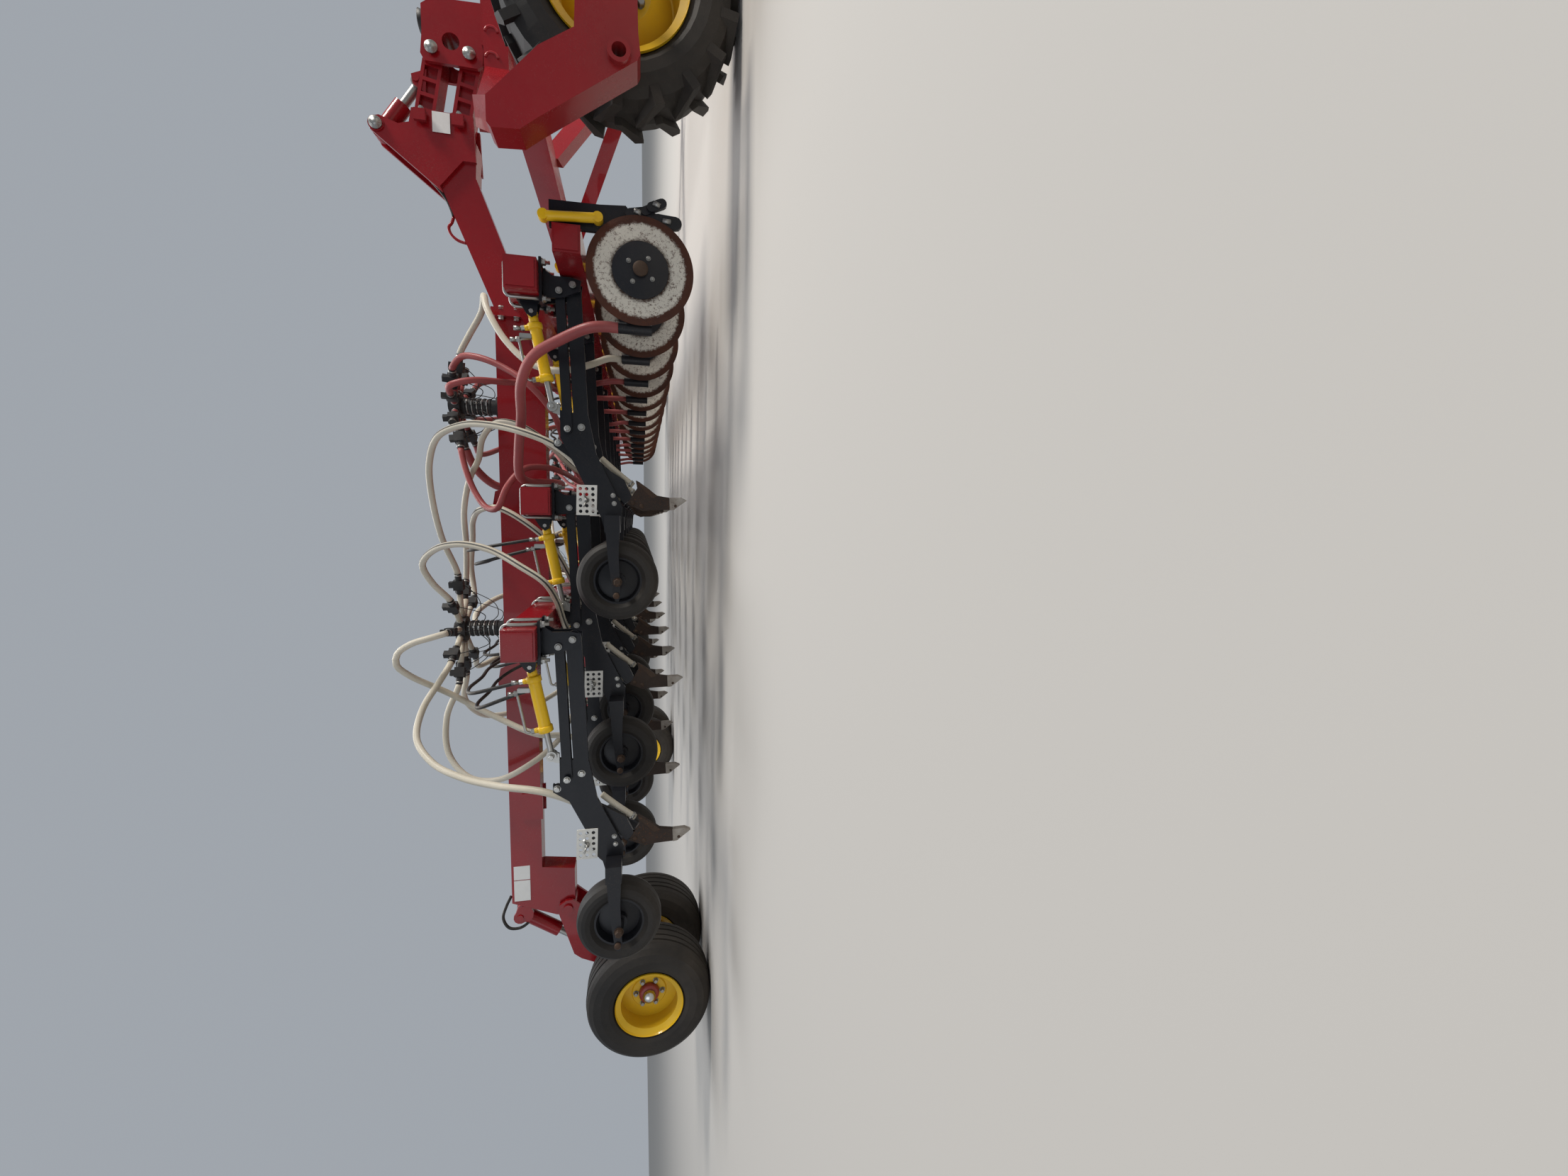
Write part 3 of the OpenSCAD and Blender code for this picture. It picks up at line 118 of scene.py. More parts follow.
def hose_end(to_boot, number):
    """The last two points of a hose, in a banding disc's boot or on the stub behind an opener's shank."""
    if to_boot:
        y = disc_y(number) + BOOT_OFF
        return [Vector((BOOT_X, y, BOOT_TOP + 0.07)), Vector((BOOT_X, y, BOOT_TOP + 0.0005))]
    bar, y = BAR_X[number % 3], opener_y(number) + TUBE_OFF
    return [Vector((bar + x, y, z)) for x, z in STUB]


print("outlets:", len(SIDES) * len(TOWERS) * len(OUTLETS))


# %% Tubes along a smooth line
START_PULL = 0.6


def smooth_line(points, start, step):
    """A centripetal spline through the points, sampled about every step metres."""
    first = points[0] - start * (points[1] - points[0]).length * START_PULL
    last = points[-1] * 2 - points[-2]
    p = [first, *points, last]
    line = []
    for a, b, c, d in zip(p, p[1:], p[2:], p[3:]):
        t = [0.0]
        for u, v in ((a, b), (b, c), (c, d)):
            t.append(t[-1] + math.sqrt(max((v - u).length, 1e-6)))
        count = max(2, int((c - b).length / step))
        for i in range(count):
            s = t[1] + (t[2] - t[1]) * i / count
            ab = a.lerp(b, (s - t[0]) / (t[1] - t[0]))
            bc = b.lerp(c, (s - t[1]) / (t[2] - t[1]))
            cd = c.lerp(d, (s - t[2]) / (t[3] - t[2]))
            low = ab.lerp(bc, (s - t[0]) / (t[2] - t[0]))
            high = bc.lerp(cd, (s - t[1]) / (t[3] - t[1]))
            line.append(low.lerp(high, (s - t[1]) / (t[2] - t[1])))
    line.append(points[-1].copy())
    return line


def tube_faces(shape, line, radius, sides=10, swell=None, striped=False):
    """Adds a closed tube to a bmesh. swell(i) scales ring i; striped gives one strip the second material."""
    ahead = [(line[min(i + 1, len(line) - 1)] - line[max(i - 1, 0)]).normalized() for i in range(len(line))]
    across = ahead[0].orthogonal().normalized()
    if abs(ahead[0].z) < 0.9:
        across = (Vector((0, 0, 1)) - ahead[0] * ahead[0].z).normalized()
    rings = []
    for i, spot in enumerate(line):
        across = (across - ahead[i] * across.dot(ahead[i])).normalized()
        side = ahead[i].cross(across)
        r = radius * (swell(i) if swell else 1.0)
        turns = [2 * math.pi * j / sides for j in range(sides)]
        rings.append([shape.verts.new(spot + r * (math.cos(t) * across + math.sin(t) * side)) for t in turns])
    for one, two in zip(rings, rings[1:]):
        for j in range(sides):
            face = shape.faces.new((one[j], one[(j + 1) % sides], two[(j + 1) % sides], two[j]))
            face.smooth = True
            if striped and j == 0:
                face.material_index = 1
    shape.faces.new(list(reversed(rings[0])))
    shape.faces.new(rings[-1])


def as_piece(shape, name, body):
    """Turns a bmesh into a piece that rides on a body."""
    bmesh.ops.recalc_face_normals(shape, faces=shape.faces)
    data = bpy.data.meshes.new(name)
    shape.to_mesh(data)
    shape.free()
    piece = bpy.data.objects.new(name, data)
    bpy.context.scene.collection.objects.link(piece)
    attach(piece, body)
    return piece


def line_length(line):
    return sum((b - a).length for a, b in zip(line, line[1:]))


def free_hose(name, line, radius, sides=10, swell=None, striped=False):
    """A hose as a piece of its own on the frame."""
    shape = bmesh.new()
    tube_faces(shape, line, radius, sides, swell, striped)
    piece = as_piece(shape, name, "frame")
    return piece


def bent_tube(shape, points, start, step, radius, sides):
    """Adds a tube that follows the points smoothly, and gives its length."""
    line = smooth_line(points, start, step)
    tube_faces(shape, line, radius, sides)
    return line_length(line)


elbow = smooth_line([Vector((0, 0, 0)), Vector((1, 0, 0)), Vector((1, 1, 0))], Vector((1, 0, 0)), 0.1)
print("an elbow of two 1 m legs measures", round(line_length(elbow), 3), "m when it is rounded")

# %% The seed hoses
# Columns: side, tower, outlet, 1 for a banding disc's boot, number of the opener or disc, route.
# A route's middle column is the distance from the centre line.
HOSES = [
    (-1, 0, 2, 0, 3, [(-1.43, 2.79, 1.7), (-1.465, 2.8, 1.81), (-1.52, 2.805, 1.88), (-1.59, 2.8, 1.89),
     (-1.66, 2.78, 1.83), (-1.8, 2.7, 1.64), (-1.96, 2.72, 1.37), (-2.08, 2.76, 1.11),
     (-2.123, 2.69, 0.95)]),
    (-1, 0, 3, 0, 0, [(-1.7, 2.76, 1.665), (-1.85, 2.86, 1.74), (-1.99, 2.98, 1.74), (-2.09, 3.12, 1.62),
     (-2.13, 3.27, 1.43), (-2.13, 3.43, 1.2), (-2.123, 3.57, 0.95)]),
    (-1, 0, 4, 0, 6, [(-2.0, 2.54, 1.7), (-2.25, 2.56, 1.69), (-2.4, 2.6, 1.56), (-2.42, 2.62, 1.38),
     (-2.33, 2.6, 1.18), (-2.25, 2.45, 1.04), (-2.19, 2.1, 0.98), (-2.15, 1.85, 0.93),
     (-2.165, 1.778, 0.865)]),
    (-1, 0, 5, 0, 9, [(-1.95, 2.3, 1.65), (-2.1, 2.2, 1.56), (-2.14, 2.0, 1.35), (-2.13, 1.6, 1.15),
     (-2.11, 1.1, 1.05), (-2.123, 0.89, 0.94)]),
    (-1, 0, 1, 0, 2, [(-1.103, 2.72, 1.7), (-0.986, 2.79, 1.729), (-0.895, 2.87, 1.64),
     (-0.855, 2.96, 1.486), (-0.882, 3.06, 1.295), (-0.974, 3.16, 1.11), (-1.06, 3.19, 0.985),
     (-1.17, 3.14, 0.93), (-1.25, 3.09, 0.915), (-1.298, 3.032, 0.91), (-1.345, 2.988, 0.9),
     (-1.41, 2.987, 0.87), (-1.46, 2.987, 0.83)]),
    (-1, 0, 0, 0, 1, [(-0.841, 2.56, 1.68), (-0.581, 2.68, 1.695), (-0.378, 2.8, 1.665),
     (-0.244, 2.9, 1.587), (-0.185, 3.01, 1.421), (-0.195, 3.13, 1.252), (-0.24, 3.24, 1.071),
     (-0.31, 3.28, 0.9)]),
    (-1, 0, 8, 0, 5, [(-1.05, 2.06, 1.64), (-0.85, 2.12, 1.61), (-0.72, 2.3, 1.56), (-0.65, 2.48, 1.47),
     (-0.64, 2.6, 1.33), (-0.72, 2.64, 1.18), (-0.85, 2.6, 1.04), (-1.05, 2.43, 0.95), (-1.18, 2.27, 0.922),
     (-1.25, 2.19, 0.915), (-1.298, 2.12, 0.91), (-1.345, 2.074, 0.9), (-1.41, 2.073, 0.87),
     (-1.46, 2.073, 0.83)]),
    (-1, 0, 9, 0, 4, [(-0.9, 2.33, 1.6), (-0.65, 2.43, 1.58), (-0.45, 2.49, 1.525), (-0.33, 2.53, 1.46),
     (-0.2, 2.58, 1.42), (-0.11, 2.64, 1.32), (-0.13, 2.66, 1.18), (-0.24, 2.6, 1.01), (-0.32, 2.47, 0.94),
     (-0.365, 2.39, 0.88)]),
    (-1, 0, 7, 0, 8, [(-1.4, 1.95, 1.64), (-1.3, 1.75, 1.5), (-1.33, 1.5, 1.3), (-1.405, 1.3, 1.15),
     (-1.44, 1.18, 1.0), (-1.47, 1.161, 0.88)]),
    (-1, 0, 6, 0, 11, [(-1.8, 1.95, 1.64), (-1.75, 1.6, 1.5), (-1.6, 1.1, 1.35), (-1.48, 0.6, 1.23),
     (-1.44, 0.33, 1.12), (-1.44, 0.26, 1.0), (-1.47, 0.247, 0.88)]),
    (-1, 1, 4, 0, 7, [(-0.4, 2.56, 1.53), (-0.54, 2.61, 1.47), (-0.637, 2.68, 1.39), (-0.64, 2.76, 1.31),
     (-0.51, 2.79, 1.245), (-0.4, 2.74, 1.16), (-0.375, 2.62, 1.05), (-0.385, 2.48, 0.98),
     (-0.4, 2.0, 0.94), (-0.405, 1.65, 0.93), (-0.408, 1.53, 0.89), (-0.413, 1.475, 0.85)]),
    (-1, 1, 1, 0, 10, [(0.26, 2.68, 1.5), (0.25, 2.74, 1.4), (0.19, 2.8, 1.25), (0.08, 2.86, 1.09),
     (-0.05, 2.8, 0.98), (-0.25, 2.3, 0.95), (-0.33, 1.524, 0.96), (-0.37, 0.85, 0.93),
     (-0.395, 0.64, 0.895), (-0.41, 0.565, 0.85)]),
    (-1, 1, 5, 1, 0, [(-0.38, 2.29, 1.53), (-0.48, 2.25, 1.42), (-0.5, 2.24, 1.25), (-0.485, 2.27, 1.07),
     (-0.47, 2.4, 0.98), (-0.47, 2.56, 1.02), (-0.478, 2.76, 1.125), (-0.44, 2.93, 1.15),
     (-0.3, 3.04, 1.13), (-0.15, 3.15, 1.095), (0.0, 3.33, 1.06), (0.11, 3.45, 0.98), (0.18, 3.55, 0.83),
     (0.225, 3.61, 0.7)]),
    (-1, 1, 0, 1, 1, [(0.43, 2.5, 1.5), (0.56, 2.59, 1.4), (0.62, 2.69, 1.365), (0.52, 2.78, 1.33),
     (0.33, 2.86, 1.22), (0.19, 2.93, 1.07), (0.15, 2.99, 0.9), (0.19, 3.007, 0.74)]),
    (-1, 1, 2, 1, 2, [(0.065, 2.8, 1.54), (0.1, 2.81, 1.42), (0.115, 2.74, 1.23), (0.14, 2.64, 1.08),
     (0.16, 2.54, 1.03), (0.172, 2.42, 1.02), (0.185, 2.352, 0.965), (0.2, 2.345, 0.86),
     (0.22, 2.365, 0.74)]),
    (-1, 1, 8, 1, 3, [(0.23, 2.06, 1.54), (0.28, 1.95, 1.4), (0.29, 1.85, 1.2), (0.25, 1.8, 1.0),
     (0.23, 1.788, 0.8)]),
    (-1, 1, 7, 1, 4, [(-0.01, 2.0, 1.58), (0.04, 1.75, 1.48), (0.13, 1.45, 1.35), (0.2, 1.25, 1.2),
     (0.23, 1.185, 1.0), (0.232, 1.178, 0.8)]),
    (-1, 1, 6, 1, 5, [(-0.25, 2.0, 1.57), (-0.15, 1.6, 1.48), (0.02, 1.1, 1.35), (0.15, 0.7, 1.2),
     (0.2, 0.53, 1.05), (0.21, 0.525, 0.86), (0.22, 0.525, 0.72)]),
    (1, 0, 3, 0, 24, [(-1.7, 2.76, 1.665), (-1.85, 2.86, 1.74), (-1.99, 2.98, 1.74), (-2.09, 3.12, 1.62),
     (-2.13, 3.27, 1.43), (-2.13, 3.45, 1.2), (-2.123, 3.7, 0.95)]),
    (1, 0, 2, 0, 21, [(-1.43, 2.79, 1.7), (-1.465, 2.8, 1.81), (-1.52, 2.805, 1.88), (-1.59, 2.8, 1.89),
     (-1.66, 2.78, 1.83), (-1.8, 2.7, 1.64), (-1.96, 2.72, 1.37), (-2.08, 2.79, 1.11),
     (-2.123, 2.801, 0.95)]),
    (1, 0, 1, 0, 23, [(-1.103, 2.72, 1.7), (-0.986, 2.79, 1.729), (-0.895, 2.9, 1.64), (-0.87, 3.03, 1.486),
     (-0.93, 3.18, 1.33), (-1.1, 3.33, 1.22), (-1.34, 3.4, 1.17), (-1.44, 3.411, 1.06),
     (-1.47, 3.411, 0.92)]),
    (1, 0, 0, 0, 22, [(-0.841, 2.56, 1.68), (-0.581, 2.65, 1.695), (-0.378, 2.74, 1.665),
     (-0.244, 2.83, 1.587), (-0.165, 2.91, 1.421), (-0.15, 2.99, 1.252), (-0.19, 3.08, 1.071),
     (-0.3, 3.114, 0.91)]),
    (1, 0, 9, 0, 20, [(-1.0, 2.29, 1.65), (-0.95, 2.45, 1.6), (-0.98, 2.58, 1.45), (-1.1, 2.62, 1.3),
     (-1.3, 2.6, 1.2), (-1.42, 2.57, 1.1), (-1.465, 2.51, 0.93)]),
    (1, 0, 4, 0, 18, [(-2.0, 2.54, 1.7), (-2.25, 2.56, 1.69), (-2.4, 2.6, 1.56), (-2.42, 2.62, 1.38),
     (-2.33, 2.6, 1.18), (-2.25, 2.45, 1.04), (-2.19, 2.15, 0.96), (-2.15, 1.93, 0.89)]),
    (1, 0, 5, 0, 15, [(-1.95, 2.3, 1.65), (-2.1, 2.2, 1.56), (-2.14, 2.0, 1.35), (-2.13, 1.6, 1.15),
     (-2.11, 1.15, 1.05), (-2.123, 1.0, 0.94)]),
    (1, 0, 6, 0, 12, [(-1.83, 1.97, 1.64), (-1.95, 1.6, 1.5), (-2.05, 1.0, 1.3), (-2.1, 0.4, 1.15),
     (-2.115, 0.11, 1.02), (-2.135, 0.058, 0.9)]),
    (1, 0, 7, 0, 17, [(-1.45, 1.95, 1.64), (-1.42, 1.78, 1.5), (-1.44, 1.64, 1.3), (-1.45, 1.59, 1.1),
     (-1.47, 1.582, 0.92)]),
    (1, 0, 8, 0, 14, [(-1.15, 1.95, 1.63), (-1.18, 1.6, 1.5), (-1.3, 1.1, 1.35), (-1.4, 0.76, 1.2),
     (-1.45, 0.68, 1.05), (-1.47, 0.668, 0.92)]),
    (1, 1, 6, 0, 19, [(-0.28, 2.08, 1.52), (-0.3, 2.05, 1.4), (-0.32, 2.08, 1.2), (-0.35, 2.16, 1.0),
     (-0.38, 2.192, 0.88)]),
    (1, 1, 7, 0, 16, [(-0.04, 2.0, 1.56), (-0.15, 1.75, 1.45), (-0.27, 1.45, 1.3), (-0.34, 1.3, 1.12),
     (-0.37, 1.277, 0.95)]),
    (1, 1, 8, 0, 13, [(0.17, 2.0, 1.57), (0.05, 1.5, 1.45), (-0.15, 0.9, 1.3), (-0.3, 0.48, 1.13),
     (-0.365, 0.37, 0.96)]),
    (1, 1, 1, 1, 12, [(0.26, 2.7, 1.56), (0.28, 2.9, 1.45), (0.24, 3.2, 1.25), (0.2, 3.48, 1.0),
     (0.2, 3.65, 0.8)]),
    (1, 1, 2, 1, 11, [(0.06, 2.8, 1.56), (0.11, 2.95, 1.42), (0.16, 3.08, 1.2), (0.19, 3.13, 1.0),
     (0.205, 3.133, 0.82)]),
    (1, 1, 0, 1, 10, [(0.42, 2.52, 1.5), (0.44, 2.6, 1.38), (0.38, 2.64, 1.2), (0.29, 2.6, 1.04),
     (0.25, 2.52, 0.9), (0.235, 2.479, 0.72)]),
    (1, 1, 9, 1, 9, [(0.35, 2.21, 1.54), (0.37, 2.1, 1.4), (0.34, 1.98, 1.2), (0.28, 1.89, 1.0),
     (0.24, 1.87, 0.8)]),
    (1, 1, 5, 1, 8, [(-0.38, 2.33, 1.56), (-0.43, 2.2, 1.48), (-0.35, 1.9, 1.33), (-0.1, 1.55, 1.22),
     (0.12, 1.35, 1.12), (0.19, 1.304, 0.98), (0.205, 1.304, 0.82)]),
    (1, 1, 4, 1, 7, [(-0.4, 2.56, 1.6), (-0.42, 2.5, 1.72), (-0.33, 2.25, 1.76), (-0.15, 1.8, 1.7),
     (0.08, 1.25, 1.5), (0.19, 0.85, 1.25), (0.215, 0.68, 1.0), (0.232, 0.651, 0.8)]),
    (1, 1, 3, 1, 6, [(-0.22, 2.74, 1.65), (-0.3, 2.64, 1.745), (-0.24, 2.42, 1.8), (-0.08, 2.0, 1.73),
     (0.09, 1.5, 1.62), (0.17, 0.9, 1.4), (0.205, 0.35, 1.15), (0.228, 0.08, 0.98), (0.235, 0.041, 0.8)]),
]
SEED_R, SMOOTH_STEP = 0.019, 0.024
RIBBED_R, RIB_STEP, RIB_DEPTH = 0.027, 0.0045, 0.05
RIBBED = (-1, 1, 0)
PLAIN_OUTLET = 3


def rib(i):
    return 1.0 - RIB_DEPTH * (i % 2)


seed_hoses = []
for side, tower, outlet, to_boot, number, route in HOSES:
    spot, start = outlet_pose(side, tower, outlet)
    points = [spot, *[Vector((x, side * y, z)) for x, y, z in route], *hose_end(to_boot, number)]
    ribbed = (side, to_boot, number) == RIBBED
    line = smooth_line(points, start, RIB_STEP if ribbed else SMOOTH_STEP)
    name = f"{'disc' if to_boot else 'seed'}_hose_{number:02d}"
    striped = tower == 0 and outlet != PLAIN_OUTLET
    hose = free_hose(name, line, RIBBED_R if ribbed else SEED_R, 12, rib if ribbed else None, striped)
    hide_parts("seed_hoses")
    cream = tower == 0 or (to_boot and number == 1)
    seed_hoses.append((hose, cream))
print("hoses:", len(seed_hoses))

# %% [markdown]
# ## Shared surface effects
# Paint on a farm machine is never one colour. Dust settles low down and on ledges, the sun bleaches it in
# broad patches, and stones chip it. These are three small node groups with plain inputs and outputs, and
# each material below sets its own amounts.


# %% Node helpers
def new_group(name, inputs, outputs):
    group = bpy.data.node_groups.new(name, "ShaderNodeTree")
    for label, kind, value in inputs:
        socket = group.interface.new_socket(name=label, in_out="INPUT", socket_type=kind)
        if value is not None:
            socket.default_value = value
    for label, kind in outputs:
        group.interface.new_socket(name=label, in_out="OUTPUT", socket_type=kind)
    return group, group.nodes.new("NodeGroupInput"), group.nodes.new("NodeGroupOutput")


def feed(socket, value):
    """Links a socket to another one, or gives it a constant. A socket knows the tree that it is in."""
    if hasattr(value, "is_linked"):
        socket.id_data.links.new(value, socket)
    else:
        socket.default_value = value


def node(tree, kind, inputs, **settings):
    """Adds a node. inputs maps its sockets, by name or number, to constants or to outputs of other nodes."""
    made = tree.nodes.new(kind)
    for key, value in settings.items():
        setattr(made, key, value)
    for key, value in inputs.items():
        feed(made.inputs[key], value)
    return made


def ramp(source, low, high):
    inputs = {"Value": source, "From Min": low, "From Max": high}
    return node(source.id_data, "ShaderNodeMapRange", inputs).outputs["Result"]


def times(a, b, operation="MULTIPLY"):
    return node(a.id_data, "ShaderNodeMath", {0: a, 1: b}, operation=operation, use_clamp=True).outputs[0]


def noise(vector, scale, detail=4.0, rough=0.6):
    inputs = {"Vector": vector, "Scale": scale, "Detail": detail, "Roughness": rough}
    return node(vector.id_data, "ShaderNodeTexNoise", inputs).outputs["Fac"]


def mix(factor, a, b):
    """Blends two colours. A Mix node keeps its colour sockets at 6 and 7 and gives its colour at 2."""
    return node(factor.id_data, "ShaderNodeMix", {0: factor, 6: a, 7: b}, data_type="RGBA").outputs[2]


print("node helpers: new_group, feed, node, ramp, times, noise, mix")

# %% Dust, fading and chips
VECTOR, NUMBER = "NodeSocketVector", "NodeSocketFloat"
dust_group, given, result = new_group(
    "field_dust", [("Vector", VECTOR, None), ("Amount", NUMBER, 0.5), ("Low", NUMBER, 0.5)],
    [("Mask", NUMBER)])
where, amount = given.outputs["Vector"], given.outputs["Amount"]
spread = noise(where, 3.0, 6.0)
fine = noise(where, 38.0, 5.0, 0.7)
normal = node(dust_group, "ShaderNodeNewGeometry", {}).outputs["Normal"]
facing = node(dust_group, "ShaderNodeSeparateXYZ", {0: normal})
place = node(dust_group, "ShaderNodeSeparateXYZ", {0: where})
ledges = times(ramp(facing.outputs["Z"], 0.35, 1.0), amount)
low_down = times(ramp(place.outputs["Z"], 0.9, 0.0), given.outputs["Low"])
both = times(low_down, ledges, "MAXIMUM")
speckle = times(ramp(fine, 0.42, 0.72), amount)
both = times(both, times(speckle, 0.35), "ADD")
broad = times(ramp(spread, 0.3, 0.7), 0.35, "ADD")
feed(result.inputs["Mask"], times(both, broad))

chip_group, given, result = new_group(
    "stone_chips", [("Vector", VECTOR, None), ("Amount", NUMBER, 0.3)],
    [("Mask", NUMBER), ("Height", NUMBER)])
where = given.outputs["Vector"]
clusters = ramp(noise(where, 4.5, 3.0), 0.46, 0.68)
grit = ramp(noise(where, 120.0, 3.0, 0.75), 0.58, 0.63)
chips = times(times(clusters, grit), given.outputs["Amount"])
feed(result.inputs["Mask"], chips)
untouched = node(chip_group, "ShaderNodeMath", {0: 1.0, 1: chips}, operation="SUBTRACT", use_clamp=True)
feed(result.inputs["Height"], untouched.outputs[0])

fade_group, given, result = new_group(
    "sun_fade", [("Vector", VECTOR, None), ("Scale", NUMBER, 1.5)], [("Mask", NUMBER), ("Fine", NUMBER)])
where = given.outputs["Vector"]
wide = noise(where, given.outputs["Scale"], 5.0, 0.5)
feed(result.inputs["Mask"], ramp(wide, 0.3, 0.7))
feed(result.inputs["Fine"], noise(where, 420.0, 2.0))
print("groups:", [group.name for group in bpy.data.node_groups])

# %% [markdown]
# ## One recipe for every finish
# A finish is a base colour, a second colour that the sun or wear brings out, a colour under the chips, and
# the dust on top. Each finish is its own material with its own shader, and only masks come from the groups.

# %% The finish recipe
DUST = (0.22, 0.175, 0.13, 1.0)
DUSTY_ROUGHNESS = 0.9
RELIEF_DEPTH = 0.002


def finish(name, base, worn, under, gloss, metal=0.0, dust=0.4, low=0.4, chips=0.3, bump=0.15, fade=1.5,
           coat=0.0, sheen=0.25):
    """A material: three colours, a roughness, and how much of each effect it shows."""
    mat = bpy.data.materials.new(name)
    mat.use_nodes = True
    tree = mat.node_tree
    shader = tree.nodes["Principled BSDF"]
    where = node(tree, "ShaderNodeTexCoord", {}).outputs["Object"]
    faded = node(tree, "ShaderNodeGroup", {"Vector": where, "Scale": fade}, node_tree=fade_group).outputs
    chipped = node(tree, "ShaderNodeGroup", {"Vector": where, "Amount": chips}, node_tree=chip_group).outputs
    dusty = node(tree, "ShaderNodeGroup", {"Vector": where, "Amount": dust, "Low": low},
                 node_tree=dust_group).outputs
    colour = mix(faded["Mask"], (*base, 1.0), (*worn, 1.0))
    colour = mix(chipped["Mask"], colour, (*under, 1.0))
    colour = mix(dusty["Mask"], colour, DUST)
    dull = times(dusty["Mask"], chipped["Mask"], "MAXIMUM")
    rough = node(tree, "ShaderNodeMapRange", {"Value": dull, "To Min": gloss, "To Max": DUSTY_ROUGHNESS})
    grain = times(faded["Fine"], chipped["Height"])
    relief = node(tree, "ShaderNodeBump", {"Strength": bump, "Distance": RELIEF_DEPTH, "Height": grain})
    for key, value in (("Base Color", colour), ("Roughness", rough.outputs["Result"]), ("Metallic", metal),
                       ("Specular IOR Level", sheen), ("Coat Weight", coat),
                       ("Normal", relief.outputs["Normal"])):
        feed(shader.inputs[key], value)
    return mat


def clear_red(name, base, worn, **more):
    return finish(name, base, worn, (0.16, 0.07, 0.05), 0.24, coat=0.25, **more)


print("dust on every finish:", DUST[:3])

# %% The finishes
red_paint = clear_red("red_paint", (0.3, 0.005, 0.01), (0.2, 0.004, 0.008), dust=0.08, low=0.14,
                      chips=0.2)
black_paint = finish("black_paint", (0.005, 0.0065, 0.01), (0.01, 0.012, 0.017), (0.12, 0.08, 0.05), 0.3,
                     dust=0.05, low=0.07, chips=0.25)
yellow_paint = finish("yellow_paint", (0.8, 0.5, 0.01), (0.7, 0.42, 0.012), (0.25, 0.15, 0.05), 0.32,
                      dust=0.12, low=0.15, chips=0.2, coat=0.2)
zinc = finish("zinc", (0.42, 0.42, 0.4), (0.28, 0.28, 0.27), (0.16, 0.12, 0.08), 0.36, metal=0.9, dust=0.15,
              low=0.15)
rusty_iron = finish("rusty_iron", (0.06, 0.032, 0.02), (0.032, 0.02, 0.015), (0.16, 0.065, 0.026), 0.62,
                    metal=0.3, dust=0.2, low=0.2, chips=0.8, bump=0.4, fade=9.0)
knife_iron = finish("knife_iron", (0.036, 0.021, 0.016), (0.02, 0.014, 0.012), (0.13, 0.05, 0.02), 0.55,
                    metal=0.2, dust=0.12, low=0.1, chips=0.9, bump=0.5, fade=12.0)
tip_iron = finish("tip_iron", (0.4, 0.37, 0.33), (0.22, 0.19, 0.16), (0.1, 0.06, 0.04), 0.42,
                  metal=0.35, dust=0.1, low=0.1, chips=0.9, bump=0.4, fade=14.0)
plate_white = finish("plate_white", (0.72, 0.72, 0.69), (0.62, 0.62, 0.58), (0.3, 0.2, 0.15), 0.45,
                     chips=0.4)
black_plastic = finish("black_plastic", (0.02, 0.02, 0.022), (0.035, 0.035, 0.036), (0.05, 0.05, 0.05), 0.5,
                       dust=0.2, low=0.1, chips=0.0)
rubber = finish("rubber", (0.008, 0.008, 0.0085), (0.015, 0.0145, 0.014), (0.07, 0.06, 0.05), 0.55,
                dust=0.07, low=0.18, chips=0.2, bump=0.3, fade=4.0)
cream_hose = finish("cream_hose", (0.62, 0.58, 0.49), (0.46, 0.42, 0.33), (0.18, 0.14, 0.1), 0.38,
                    dust=0.2, low=0.3, chips=0.35, fade=2.5)
pink_hose = finish("pink_hose", (0.34, 0.075, 0.075), (0.24, 0.05, 0.052), (0.3, 0.13, 0.11), 0.4,
                   dust=0.25, low=0.3, chips=0.2, fade=2.5)
pink_hose.node_tree.nodes["Principled BSDF"].inputs["Subsurface Weight"].default_value = 0.05
stripe = finish("hose_stripe", (0.03, 0.03, 0.03), (0.06, 0.06, 0.055), (0.3, 0.27, 0.2), 0.5,
                dust=0.35, chips=0.5)
oil_hose = finish("oil_hose", (0.012, 0.012, 0.013), (0.03, 0.03, 0.03), (0.05, 0.05, 0.05), 0.42,
                  dust=0.4, low=0.2, chips=0.0, fade=6.0)
chrome = finish("chrome", (0.75, 0.75, 0.74), (0.6, 0.6, 0.58), (0.35, 0.3, 0.25), 0.16, metal=1.0, dust=0.2,
                low=0.2, chips=0.15, bump=0.05)
hub_red = clear_red("hub_red", (0.36, 0.012, 0.02), (0.28, 0.012, 0.02), dust=0.35, low=0.4, chips=0.5)
blank_white = finish("blank_white", (0.78, 0.78, 0.76), (0.7, 0.7, 0.68), (0.5, 0.48, 0.45), 0.4,
                     dust=0.2, low=0.2, chips=0.15, bump=0.05)
print("finishes:", len(bpy.data.materials))

# %% [markdown]
# ## Rings of colour on the banding discs
# A disc that rolls through soil loses its white paint from the rim inward, and round its hub it is dark. So a
# broken pale ring is left between. The distance from the axle picks the colour, and noise frays the edges.

# %% The discs' iron
DISC_AXLE = (0.497, 0.453)
PALE = 0.3


